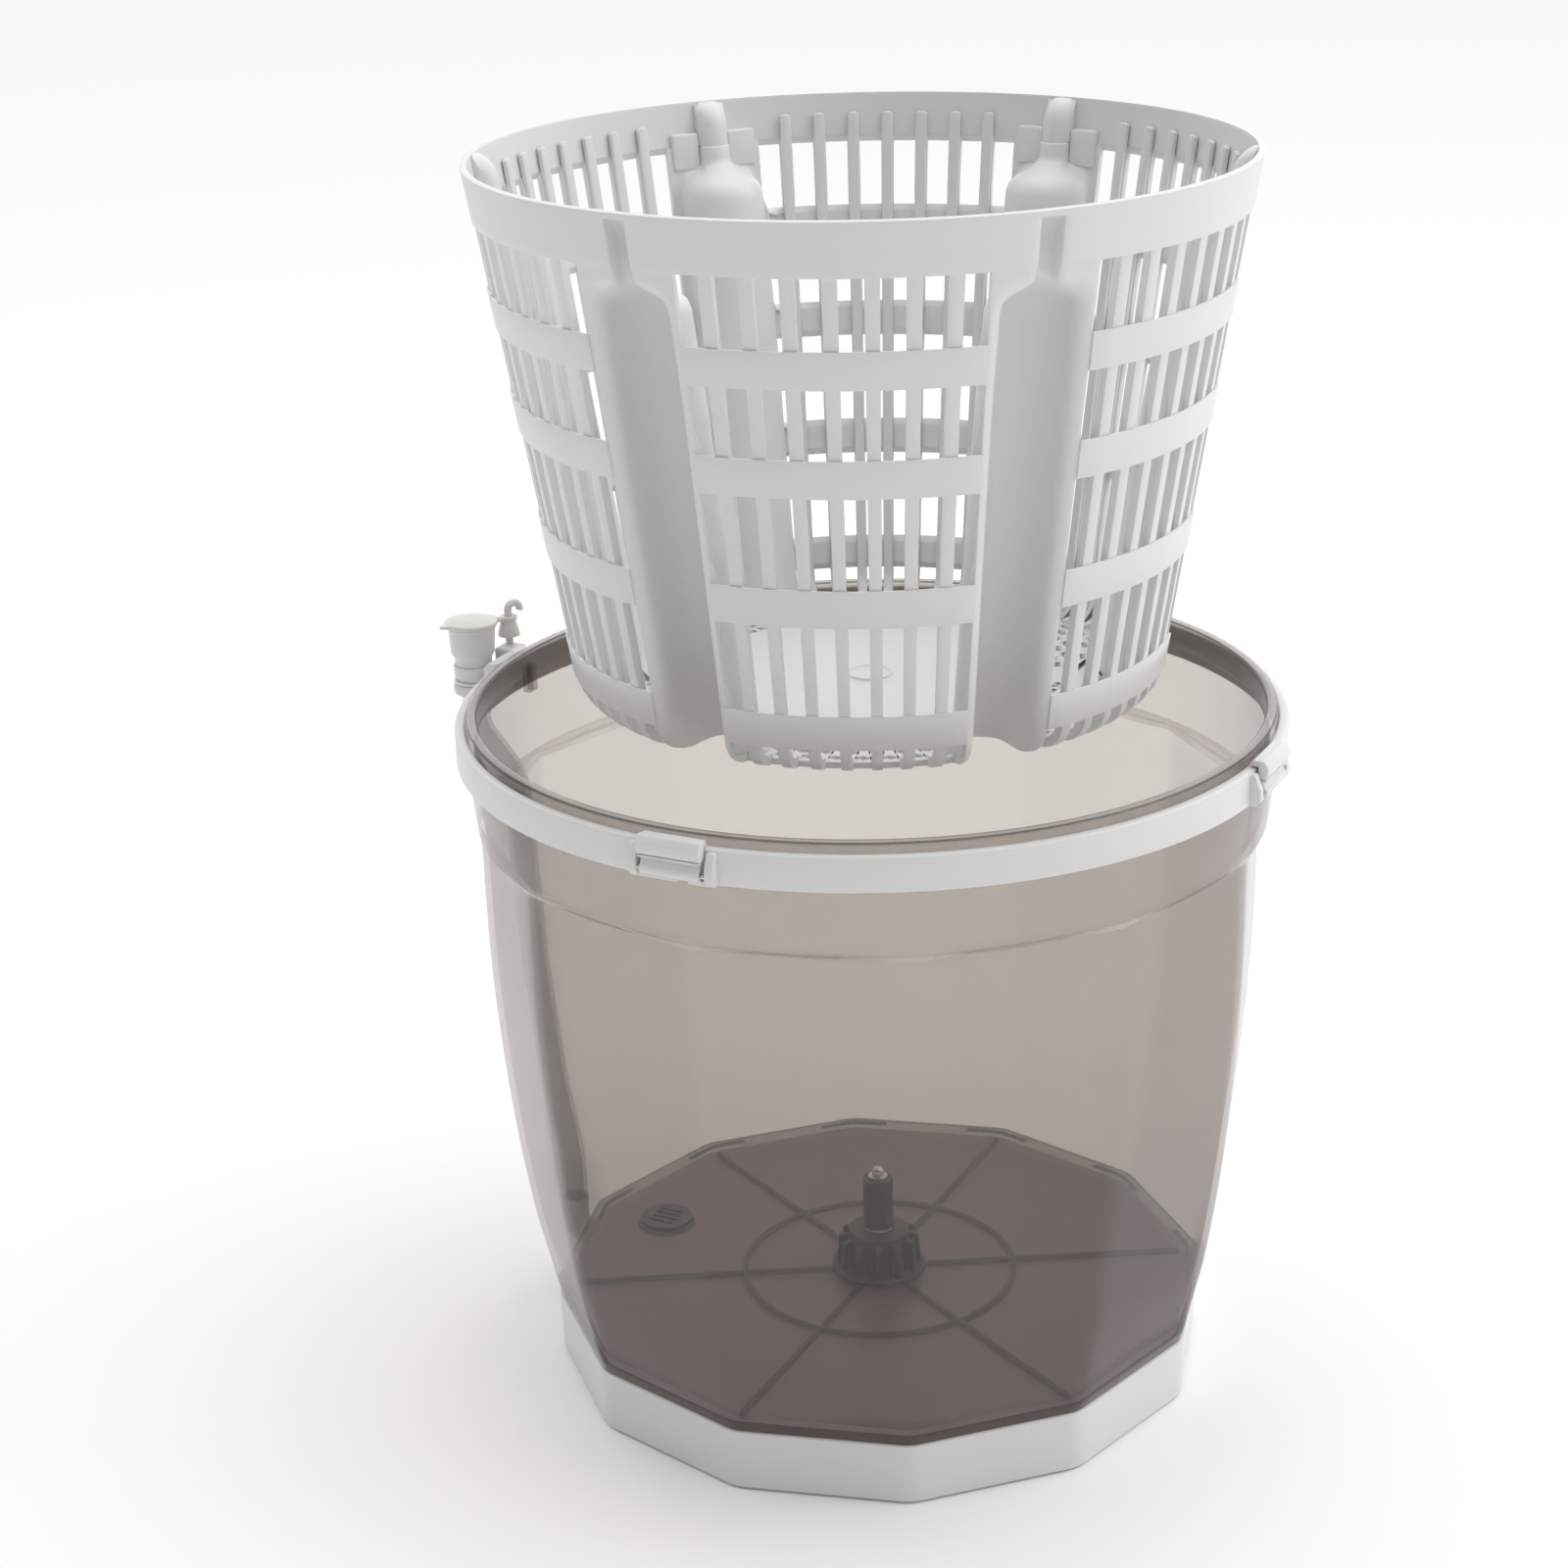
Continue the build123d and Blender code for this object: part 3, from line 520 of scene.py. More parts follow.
def brushed_surface():
    """Node group of drawn steel: fine turned lines in the colour and the gloss."""
    name = "Drawn steel"
    if name in bpy.data.node_groups:
        return bpy.data.node_groups[name]
    tree, entry, leave = new_group(
        name,
        (("Colour", "Color", (0.6, 0.6, 0.6, 1.0)), ("Lines", "Float", 0.12), ("Gloss", "Float", 0.28)),
        (("Colour", "Color"), ("Roughness", "Float"), ("Height", "Float")))
    lines = stretched_noise(tree, (60.0, 60.0, 2600.0), Detail=3.0, Roughness=0.6)
    mark_surface(tree, entry, leave, lines, "Lines", "Lines")
    tree.links.new(lines, leave.inputs["Height"])
    return tree


def surface_node(tree, group, colour, **values):
    """A placed effect group with its colour and values."""
    node = add_node(tree, "ShaderNodeGroup", node_tree=group)
    node.inputs["Colour"].default_value = (*colour, 1.0)
    set_inputs(node, **values)
    return node


def dressed_shader(tree, effect, bump, distance=0.0002):
    """A Principled shader whose colour, roughness and bump come from an effect."""
    link = tree.links.new
    shader = add_node(tree, "ShaderNodeBsdfPrincipled")
    link(effect.outputs["Colour"], shader.inputs["Base Color"])
    link(effect.outputs["Roughness"], shader.inputs["Roughness"])
    relief = add_node(tree, "ShaderNodeBump")
    set_inputs(relief, Strength=bump, Distance=distance)
    link(effect.outputs["Height"], relief.inputs["Height"])
    link(relief.outputs["Normal"], shader.inputs["Normal"])
    return shader


def empty_material(name):
    """A material with only its output, and that output."""
    material = bpy.data.materials.new(name)
    material.use_nodes = True
    material.node_tree.nodes.clear()
    return material, add_node(material.node_tree, "ShaderNodeOutputMaterial")


def solid_plastic(name, colour, gloss, marks=0.03, swing=0.06, bump=0.15, texture=0.5):
    """A moulded plastic that light doesn't pass."""
    if name in bpy.data.materials:
        return bpy.data.materials[name]
    material, out = empty_material(name)
    tree = material.node_tree
    effect = surface_node(
        tree, moulded_surface(), colour, Marks=marks, Gloss=gloss, Gloss_swing=swing, Texture=texture)
    shader = dressed_shader(tree, effect, bump)
    set_inputs(shader, IOR=1.49, Specular_IOR_Level=0.4)
    tree.links.new(shader.outputs[0], out.inputs["Surface"])
    return material


def white_plastic(colours):
    """Glossy white plastic of the basket and fittings."""
    return solid_plastic("White plastic", colours.white, 0.34, marks=0.025)


def ivory_plastic(colours):
    """Softer ivory plastic of the cap and strap."""
    return solid_plastic("Ivory plastic", colours.ivory, 0.42, marks=0.04)


def dark_nylon(colours):
    """Dark nylon of the boss and sleeve."""
    return solid_plastic("Dark nylon", colours.nylon, 0.45, marks=0.12, swing=0.1)


def rubber(colours):
    """Matt black rubber."""
    return solid_plastic("Rubber", colours.rubber, 0.78, marks=0.2, swing=0.12, bump=0.4)


def steel(colours):
    """Drawn steel of the post, pins and screws."""
    name = "Drawn steel"
    if name in bpy.data.materials:
        return bpy.data.materials[name]
    material, out = empty_material(name)
    tree = material.node_tree
    effect = surface_node(tree, brushed_surface(), colours.steel, Lines=0.12, Gloss=0.26)
    shader = dressed_shader(tree, effect, bump=0.1, distance=0.0001)
    shader.inputs["Metallic"].default_value = 1.0
    tree.links.new(shader.outputs[0], out.inputs["Surface"])
    return material


def facing_power(tree, slant, power):
    """How far a face turns from the eye, from 0 to 1, to a power."""
    raised = add_node(tree, "ShaderNodeMath", operation="POWER")
    raised.inputs[1].default_value = power
    tree.links.new(slant.outputs["Facing"], raised.inputs[0])
    return raised.outputs[0]


def see_through(name, tint, edge_tint, haze_colour, haze, gloss):
    """Clear tinted plastic: light passes tinted, deeper on edge, a share scatters back, and edges gleam."""
    if name in bpy.data.materials:
        return bpy.data.materials[name]
    material, out = empty_material(name)
    tree = material.node_tree
    link = tree.links.new
    effect = surface_node(
        tree, moulded_surface(), haze_colour, Marks=0.10, Gloss=gloss, Gloss_swing=0.05, Texture=0.02)
    shader = dressed_shader(tree, effect, bump=0.02)
    set_inputs(shader, IOR=1.49, Specular_IOR_Level=0.3)
    slant = add_node(tree, "ShaderNodeLayerWeight")
    slant.inputs["Blend"].default_value = 0.5
    tints = add_node(tree, "ShaderNodeMix", data_type="RGBA")
    near, far = [socket for socket in tints.inputs if socket.type == "RGBA"]
    near.default_value = (*tint, 1.0)
    far.default_value = (*edge_tint, 1.0)
    link(facing_power(tree, slant, 2.0), tints.inputs["Factor"])
    clear = add_node(tree, "ShaderNodeBsdfTransparent")
    link([socket for socket in tints.outputs if socket.type == "RGBA"][0], clear.inputs["Color"])
    body = add_node(tree, "ShaderNodeMixShader")
    body.inputs["Fac"].default_value = haze
    link(clear.outputs[0], body.inputs[1])
    link(shader.outputs[0], body.inputs[2])
    gleam = add_node(tree, "ShaderNodeBsdfGlossy")
    gleam.inputs["Color"].default_value = (1.0, 1.0, 1.0, 1.0)
    link(effect.outputs["Roughness"], gleam.inputs["Roughness"])
    mirror = add_node(tree, "ShaderNodeMath", operation="MULTIPLY_ADD")
    mirror.inputs[1].default_value = GLEAM_ON_EDGE
    mirror.inputs[2].default_value = GLEAM_HEAD_ON
    link(facing_power(tree, slant, 5.0), mirror.inputs[0])
    blend = add_node(tree, "ShaderNodeMixShader")
    link(mirror.outputs[0], blend.inputs["Fac"])
    link(body.outputs[0], blend.inputs[1])
    link(gleam.outputs[0], blend.inputs[2])
    link(blend.outputs[0], out.inputs["Surface"])
    return material


def scaled(colour, share):
    """A colour made darker or lighter by a factor."""
    return [part * share for part in colour]


def tub_materials(colours):
    """Smoked plastics of the tub, in the order of its finishes.

    Each has factors on the two tints, the colour of its haze, the haze's share and the roughness.
    """
    haze = colours.smoke_haze
    floor = colours.floor_haze
    finishes = (
        ("Smoked wall", 1.0, 1.0, haze, 0.04, 0.14),
        ("Smoked floor", 1.0, 1.0, floor, 0.1, 0.25),
        ("Smoked rim", 0.93, 0.8, haze, 0.06, 0.14),
        ("Smoked lip", 0.95, 0.9, scaled(haze, 1.25), 0.45, 0.16),
        # painted shade: near-black lines standing in for the dark lines that refraction and shadow make at
        # the lip's edges, the rim's step and the foot
        ("Smoked lip edge", 0.42, 0.3, scaled(haze, 0.25), 0.35, 0.14),
        # painted shade: the ribs are the same smoked plastic, made opaque and near black for how dark they
        # look through their depth
        ("Smoked rib", 0.5, 0.5, scaled(floor, 0.05), 1.0, 0.3),
        # painted shadow: a dark brown haze on the foot below the floor, where shade falls under the tub
        ("Smoked foot", 1.0, 1.0, (0.12, 0.075, 0.06), 0.6, 0.16),
        ("Smoked underside", 1.0, 1.0, floor, 0.78, 0.3),
        # painted highlight: a lighter, thicker haze paints the bright arc at the shoulder's crease
        ("Smoked shoulder", 1.0, 1.0, scaled(haze, 1.6), 0.4, 0.14),
    )
    return [
        see_through(
            name, scaled(colours.smoke, tint), scaled(colours.smoke_edge, edge_tint), colour, share, gloss)
        for name, tint, edge_tint, colour, share, gloss in finishes
    ]


def hose_vinyl(colours):
    """Clear hose with a milky tone."""
    return see_through("Hose vinyl", (0.93, 0.925, 0.93), (0.78, 0.775, 0.79), colours.hose, 0.14, 0.3)


# ---------------------------------------------------------------- tub

def twelve_sided_ring(corner, cuts):
    """Points of a twelve-sided ring of radius 1 with softened corners, in order round it."""
    shape = bmesh.new()
    bmesh.ops.create_circle(
        shape, cap_ends=False, segments=SIDES, radius=1.0, matrix=turned(SIDE_TURN))
    soften_corners(shape, shape.verts[:], corner)
    long_edges = [edge for edge in shape.edges if edge.calc_length() > 2.5 * corner]
    bmesh.ops.subdivide_edges(shape, edges=long_edges, cuts=cuts, use_grid_fill=False)
    ring = sorted((math.atan2(point.co.y, point.co.x), point.co.xy.copy()) for point in shape.verts)
    shape.free()
    return [place for _, place in ring]


def smooth_wall_radius(height):
    """Corner radius of the tub's wall at a height, on a smooth line through its sections."""
    last = len(WALL_SECTIONS) - 1
    below = max(0, min(last - 1, sum(height > section[0] for section in WALL_SECTIONS) - 1))
    (z0, r0), (z1, r1), (z2, r2), (z3, r3) = [
        WALL_SECTIONS[max(0, min(last, below + step))] for step in (-1, 0, 1, 2)]
    span = z2 - z1
    share = (height - z1) / span
    leaving = span * (r2 - r0) / (z2 - z0)
    arriving = span * (r3 - r1) / (z3 - z1)
    straight = between(r1, r2, share * share * (3.0 - 2.0 * share))
    return straight + share * (1.0 - share) * (leaving * (1.0 - share) - arriving * share)


def tub_rows(wall):
    """Rings of the tub as (height, radius, roundness), up the outside, over the lip and down the inside."""
    inset = wall / math.cos(math.pi / SIDES)
    rows = [(FLOOR_UNDER, 137.0, 0.0), (27.4, 137.2, 0.0), (27.0, 138.0, 0.0), (27.2, 139.2, 0.0)]
    heights = [28.5, FOOT_SHADOW_TOP, FOOT_SHADE_LINE_TOP] + [between(35.0, CREASE - 1.0, k / 22) for k in range(23)]
    for height in heights:
        rows.append((height, smooth_wall_radius(height), 0.0))
    rows += [
        (CREASE, COLLAR_RADIUS, 0.06), (CREASE + 1.4, COLLAR_RADIUS + 0.1, 0.75),
        (CREASE + 2.4, COLLAR_RADIUS + 0.25, 1.0), (CREASE + 4.0, COLLAR_RADIUS + 0.4, 1.0),
        (CREASE + 16.0, COLLAR_RADIUS + 1.7, 1.0), (BAND_LOW, LIP_RADIUS, 1.0),
        (LIP_TOP - 2.0, LIP_RADIUS, 1.0), (LIP_TOP - 1.0, LIP_RADIUS - 0.25, 1.0),
        (LIP_TOP - 0.3, LIP_RADIUS - 0.9, 1.0), (LIP_TOP, LIP_RADIUS - 1.9, 1.0),
        (LIP_TOP, LIP_RADIUS - 3.1, 1.0), (LIP_TOP - 0.3, LIP_RADIUS - 4.1, 1.0),
        (LIP_TOP - 1.0, LIP_RADIUS - 4.75, 1.0), (LIP_TOP - 2.0, LIP_RADIUS - 5.0, 1.0),
        (RIM_STEP + 2.4, LIP_RADIUS - 5.0, 1.0), (RIM_STEP + 1.6, LIP_RADIUS - 4.7, 1.0),
        (RIM_STEP + 0.8, LIP_RADIUS - 3.2, 1.0), (RIM_STEP, LIP_RADIUS - 3.0, 1.0),
        (BAND_LOW, LIP_RADIUS - 3.0, 1.0), (CREASE + 5.0, COLLAR_RADIUS - 2.2, 1.0),
        (CREASE + 3.0, COLLAR_RADIUS - 2.5, 1.0), (CREASE + 1.4, COLLAR_RADIUS - 2.6, 0.7),
    ]
    for height in reversed(heights):
        if height > FLOOR_TOP + 5:
            rows.append((height, smooth_wall_radius(height) - inset, 0.0))
    rows += [
        (FLOOR_TOP + 3.0, smooth_wall_radius(FLOOR_TOP + 3.0) - inset - 0.1, 0.0),
        (FLOOR_TOP + 1.0, smooth_wall_radius(FLOOR_TOP) - inset - 0.8, 0.0),
        (FLOOR_TOP, smooth_wall_radius(FLOOR_TOP) - inset - 2.6, 0.0),
        (FLOOR_TOP, 120.0, 0.0),
    ]
    return rows


def tub_finish(face):
    """Which of the tub's finishes a face of its shell takes, by its place."""
    middle = face.calc_center_median()
    filling = len(face.verts) > 4
    if filling and middle.z < FLOOR_UNDER + 0.01:
        return UNDERSIDE
    if filling or middle.xy.length < smooth_wall_radius(middle.z) - FLOOR_MARGIN:
        return FLOOR
    for low, high, finish in FINISH_BANDS:
        if low < middle.z < high:
            return finish
    return WALL


def make_tub(colours, sizes):
    """Smoked clear tub in one moulding, with ribs and a ring under its floor and a clear tab inside."""
    ring = twelve_sided_ring(mm(sizes.facet_corner) / MEAN_TUB_RADIUS, 9)
    rows = tub_rows(mm(sizes.tub_wall))

    def place(column, row):
        height, radius, roundness = rows[row]
        flat = ring[column] * radius
        on_circle = ring[column].normalized() * radius
        point = flat.lerp(on_circle, roundness)
        return Vector((point.x, point.y, height))

    shell = wrapped(len(ring), len(rows) - 1, place)
    fill_gaps(shell)
    bmesh.ops.recalc_face_normals(shell, faces=shell.faces)
    for face in shell.faces:
        face.material_index = tub_finish(face)
    inner, outer = RIB_RING
    ribs = [spun((
        (inner, RIB_LOW), (outer, RIB_LOW), (outer, RIB_HIGH), (inner, RIB_HIGH),
    ), soften=0.4, closed=True, segments=2)]
    for bearing in RIB_BEARINGS:
        ribs.append((block(1.2, 13.0, 132.0, RIB_LOW, RIB_HIGH, soften=0.4), turned(bearing)))
    under = joined(*ribs)
    # the ribs under the floor take the near-black painted shade finish
    for face in under.faces:
        face.material_index = RIB
    lobes = [
        (block(1.4, 158.4, 162.6, TAB_LOW, TAB_HIGH, soften=0.9, segments=3, middle=x), turned(DRAIN_BEARING))
        for x in (-1.7, 1.7)
    ]
    tub = joined(shell, under, *lobes)
    finished("tub_shell", tub, "root", tub_materials(colours), ["tub"], angle=45.0)


# ---------------------------------------------------------------- base

def make_base(colours):
    """White skirt under the tub, with softened corners and a rounded foot, and the rubber feet."""
    ring = twelve_sided_ring(4.0 / SKIRT_RADIUS, 4)
    rows = (
        (26.6, 137.3), (0.9, 136.5), (0.5, 136.9), (0.5, 138.6), (1.0, 139.3), (2.0, 139.5),
        (14.0, 139.9), (25.8, 140.25), (26.6, 140.0), (27.0, 139.2), (27.0, 137.9), (26.6, 137.3),
    )

    def place(column, row):
        height, radius = rows[row]
        point = ring[column] * radius
        return Vector((point.x, point.y, height))

    skirt = wrapped(len(ring), len(rows) - 1, place)
    bmesh.ops.remove_doubles(skirt, verts=skirt.verts, dist=1e-3)
    bmesh.ops.recalc_face_normals(skirt, faces=skirt.faces)
    finished("white_skirt", skirt, "root", [white_plastic(colours)], ["base_skirt"])
    feet = [spun(((0.0, 0.0), (19.0, 0.0), (20.0, 1.0), (20.0, 3.0), (0.0, 3.0)), soften=0.5, steps=48)]
    for bearing in FOOT_BEARINGS:
        foot = spun(((0.0, 0.0), (7.2, 0.0), (8.0, 0.8), (8.0, 3.0), (0.0, 3.0)), soften=0.3, steps=32)
        feet.append((foot, turned(bearing) @ Matrix.Translation((0, -FEET_CIRCLE, 0))))
    finished("moulded_feet", joined(*feet), "root", [rubber(colours)], ["rubber_feet"])


# ---------------------------------------------------------------- band and latches

def make_band(colours, sizes):
    """White band round the rim with a housing for each latch."""
    band = spun((
        (LIP_RADIUS + 0.05, BAND_LOW), (BAND_RADIUS, BAND_LOW), (BAND_RADIUS, BAND_HIGH),
        (LIP_RADIUS + 0.05, BAND_HIGH),
    ), soften=0.9, steps=192, closed=True)
    cheek_half = 1.8
    cheek_across = LATCH_HALF + mm(sizes.hinge_gap) + cheek_half + 0.1
    parts = [band]
    for bearing in LATCHES.values():
        for side in (-1, 1):
            cheek = drawn_block((
                (167.0, BAND_LOW), (170.4, BAND_LOW), (172.7, BAND_LOW + 2.4), (172.7, BAND_LOW + 6.4),
                (170.2, BAND_HIGH - 1.0), (167.0, BAND_HIGH - 0.9),
            ), cheek_half, soften=0.5)
            parts.append((cheek, turned(bearing) @ Matrix.Translation((side * cheek_across, 0, 0))))
        for reach, middle in ((8.2, -6.2), (4.2, 10.8)):
            bar = block(reach, 167.0, 170.8, BAND_LOW, BAND_LOW + 2.0, soften=0.35, middle=middle)
            parts.append((bar, turned(bearing)))
    finished("white_band", joined(*parts), "root", [white_plastic(colours)], ["rim_band"])


def make_latch(name, bearing, colours):
    """One lid latch: barrel, arm, finger block with a bevelled face, and the hook over the band."""
    low = HINGE_HEIGHT
    barrel = (rod(2.2, 24.4), Matrix.Translation((0, -HINGE_RADIUS, low)))
    arm = drawn_block((
        (169.7, low), (172.7, low), (172.7, low + 1.6), (170.5, low + 6.0), (169.7, low + 6.0),
    ), 12.2, soften=0.25)
    finger = drawn_block((
        (169.7, low + 5.9), (172.8, low + 5.7), (173.95, low + 6.9), (173.9, low + 10.6),
        (172.4, low + 13.1), (169.7, low + 13.35),
    ), LATCH_HALF, soften=0.55, segments=3)
    hook = drawn_block((
        (166.3, low + 10.6), (170.6, low + 10.6), (170.6, low + 13.1), (167.6, low + 13.1),
        (166.3, low + 11.8),
    ), 12.6, soften=0.35)
    ledge = block(12.8, 169.8, 173.3, low + 4.7, low + 5.6, soften=0.3)
    latch = joined(barrel, arm, finger, hook, ledge)
    bmesh.ops.transform(latch, matrix=turned(bearing), verts=latch.verts)
    finished(
        "lid_latch_" + name, latch, "latch_" + name + "_body", [white_plastic(colours)],
        ["latch_" + name])


# ---------------------------------------------------------------- post

def make_post(colours):
    """Ribbed boss on the tub's floor and the steel post in it."""
    bore = POST_RADIUS + 0.05
    core = spun((
        (bore, BOSS_LOW), (13.0, BOSS_LOW), (13.0, 50.0), (bore, 50.0),
    ), soften=0.8, steps=64, closed=True)
    parts = [core]
    for k in range(BOSS_RIBS):
        rib = drawn_block((
            (10.5, BOSS_LOW), (18.4, BOSS_LOW), (17.4, 46.0), (16.4, 47.0), (10.5, 47.0),
        ), 1.3, soften=0.35)
        parts.append((rib, turned(360.0 / BOSS_RIBS * k)))
    flange = spun((
        (bore + 0.05, BOSS_LOW), (20.5, BOSS_LOW), (20.5, 33.4), (bore + 0.05, 33.4),
    ), soften=0.4, steps=64, closed=True)
    parts.append(flange)
    finished("ribbed_boss", joined(*parts), "root", [dark_nylon(colours)], ["centre_boss"])
    dome = [math.radians(angle) for angle in (75, 60, 45, 30, 15)]
    tip = [(POST_RADIUS * math.sin(turn), POST_SHOULDER + POST_RADIUS * math.cos(turn)) for turn in dome]
    foot = [(0.0, 26.0), (POST_RADIUS - 0.4, 26.0), (POST_RADIUS, 26.4), (POST_RADIUS, POST_SHOULDER)]
    post = spun(foot + tip + [(0.0, POST_SHOULDER + POST_RADIUS)], steps=32)
    finished("turned_post", post, "root", [steel(colours)], ["steel_post"])


# ---------------------------------------------------------------- basket

def basket_rows(relief):
    """Rings of the basket's outside as (height above its underside, radius), from the rim to the middle."""
    heights = [
        BASKET_HEIGHT, 213.0, 212.0, 211.4, 210.4, 209.0, 207.5, 205.5, 203.0, 200.0, 197.0, RIM_BAND_LOW,
        191.5, 189.0, 187.0, 185.0, 183.0, 181.0, 179.0, 176.5, 173.0, 167.6, 160.5, 153.4, 144.6, 135.8,
        127.0, 119.8, 112.5, 103.5, 94.6, 85.6, 76.7, 69.3, 62.0, 53.0, 44.0, 35.0, 26.0, 19.0,
    ]
    rise = RIM_RADIUS - CORNER_RADIUS
    rows = [
        (height, CORNER_RADIUS + rise * (height - CORNER_HEIGHT) / (BASKET_HEIGHT - CORNER_HEIGHT))
        for height in heights
    ]
    band = [(height, radius + relief) for height, radius in rows if height >= RIM_BAND_LOW]
    rows = band + [row for row in rows if row[0] <= RIM_BAND_LOW]
    for angle in (86.0, 76.0, 64.0, 52.0, 40.0, 28.0, 16.0, 6.0):
        turn = math.radians(angle)
        rows.append((
            CORNER_HEIGHT * (1.0 - math.cos(turn)),
            FLAT_RADIUS + (CORNER_RADIUS - FLAT_RADIUS) * math.sin(turn)))
    rings = [HOLES_OUTER_RADIUS - HOLE_PITCH * k for k in range(HOLE_RINGS + 1)]
    rows += [(0.0, radius) for radius in [FLAT_RADIUS] + rings + [55.0, 35.0, 20.0, 9.0]]
    return rows


def deep_section(share, radius, height, half_width):
    """A point (across, outward) of a full flute, share 0 at its edge and 1 in its middle.

    The wall runs flat from the edge, bends in, runs straight and ends in a half round.
    """
    bend, straight, round_end = 0.08, 0.36, 0.5
    edge = math.radians(PILLAR_EDGE)
    edge_point = (radius * math.sin(edge), radius * math.cos(edge))
    half_width -= FLUTE_TAPER * (1.0 - smooth_share(height, 0.0, FLUTE_TAPER_SPAN))
    blend = min(FLUTE_BLEND, edge_point[0] - half_width - 0.2)
    mouth = math.sqrt(radius ** 2 - (half_width + blend) ** 2)
    centre = between(*FLUTE_CENTRES, height / FLUTE_CENTRE_SPAN) - 0.8 * max(0.0, CORNER_RADIUS - radius)
    depth = max(0.2, min(blend, mouth - centre - 0.3))
    if share < bend:
        part = share / bend
        return between(edge_point[0], half_width + blend, part), between(edge_point[1], mouth, part)
    if share < straight:
        turn = math.radians(90.0 * (share - bend) / (straight - bend))
        return half_width + blend - blend * math.sin(turn), mouth - depth + depth * math.cos(turn)
    if share < round_end:
        return half_width, between(mouth - depth, centre, (share - straight) / (round_end - straight))
    turn = math.radians(90.0 * (share - round_end) / (1.0 - round_end))
    return half_width * math.cos(turn), centre - half_width * math.sin(turn)


def narrow_section(share, radius, height):
    """A point (across, outward) of the wall with the narrow groove of the peg in it.

    The groove runs out in a rounded end at its top.
    """
    bend, straight, round_end = 0.57, 0.72, 0.8
    edge = math.radians(PILLAR_EDGE)
    half, blend = GROOVE_HALF, GROOVE_BLEND
    mouth = math.sqrt(radius ** 2 - (half + blend) ** 2)
    past_end = max(0.0, (height - (GROOVE_TOP - GROOVE_DEPTH)) / GROOVE_DEPTH)
    depth = GROOVE_DEPTH * math.sqrt(max(0.0, 1.0 - past_end ** 2))
    drop = min(blend, depth)
    if share < bend:
        across = between(radius * math.sin(edge), half + blend, share / bend)
        return across, math.sqrt(radius ** 2 - across ** 2)
    if share < straight:
        turn = math.radians(90.0 * (share - bend) / (straight - bend))
        return half + blend - blend * math.sin(turn), mouth - drop + drop * math.cos(turn)
    if share < round_end:
        part = (share - straight) / (round_end - straight)
        return half, mouth - between(drop, max(drop, depth - 2.0), part)
    turn = math.radians(90.0 * (share - round_end) / (1.0 - round_end))
    last = min(3.2, depth)
    return half * math.cos(turn), mouth - depth + last - last * math.sin(turn)


def flute_point(side, radius, height, half_width):
    """A point (across, outward) of a pillar's outside at a height."""
    share = 1.0 - abs(side)
    deep = deep_section(share, radius, min(height, FLUTE_TOP), half_width)
    narrow = narrow_section(share, radius, height)
    ramp = smooth_share(height, FLUTE_FADE, FLUTE_TOP)
    across = between(deep[0], narrow[0], ramp)
    outward = between(deep[1], narrow[1], ramp)
    return math.copysign(across, side) if side else 0.0, outward


def basket_columns():
    """Columns of the basket's wall, as the kind of face after each, a bearing and a place.

    A flute's bearing is its pillar's, and its places run from -1 at one edge to 1 at the other.
    """
    columns = []
    for sector in range(SECTORS):
        pillar = FIRST_PILLAR + SECTOR_DEGREES * sector
        for k in range(FLUTE_COLUMNS):
            columns.append(("flute", pillar, 2 * k / FLUTE_COLUMNS - 1.0))
        bearing = pillar + PILLAR_EDGE
        for slot in range(SLOTS):
            columns.append(("slot", bearing, slot))
            bearing += SLOT_DEGREES
            if slot < SLOTS - 1:
                columns.append(("rib", bearing, slot))
                bearing += RIB_DEGREES
    return columns


def in_rows(height, rows):
    """Whether a height lies within one of several (low, high) rows."""
    return any(low < height < high for low, high in rows)


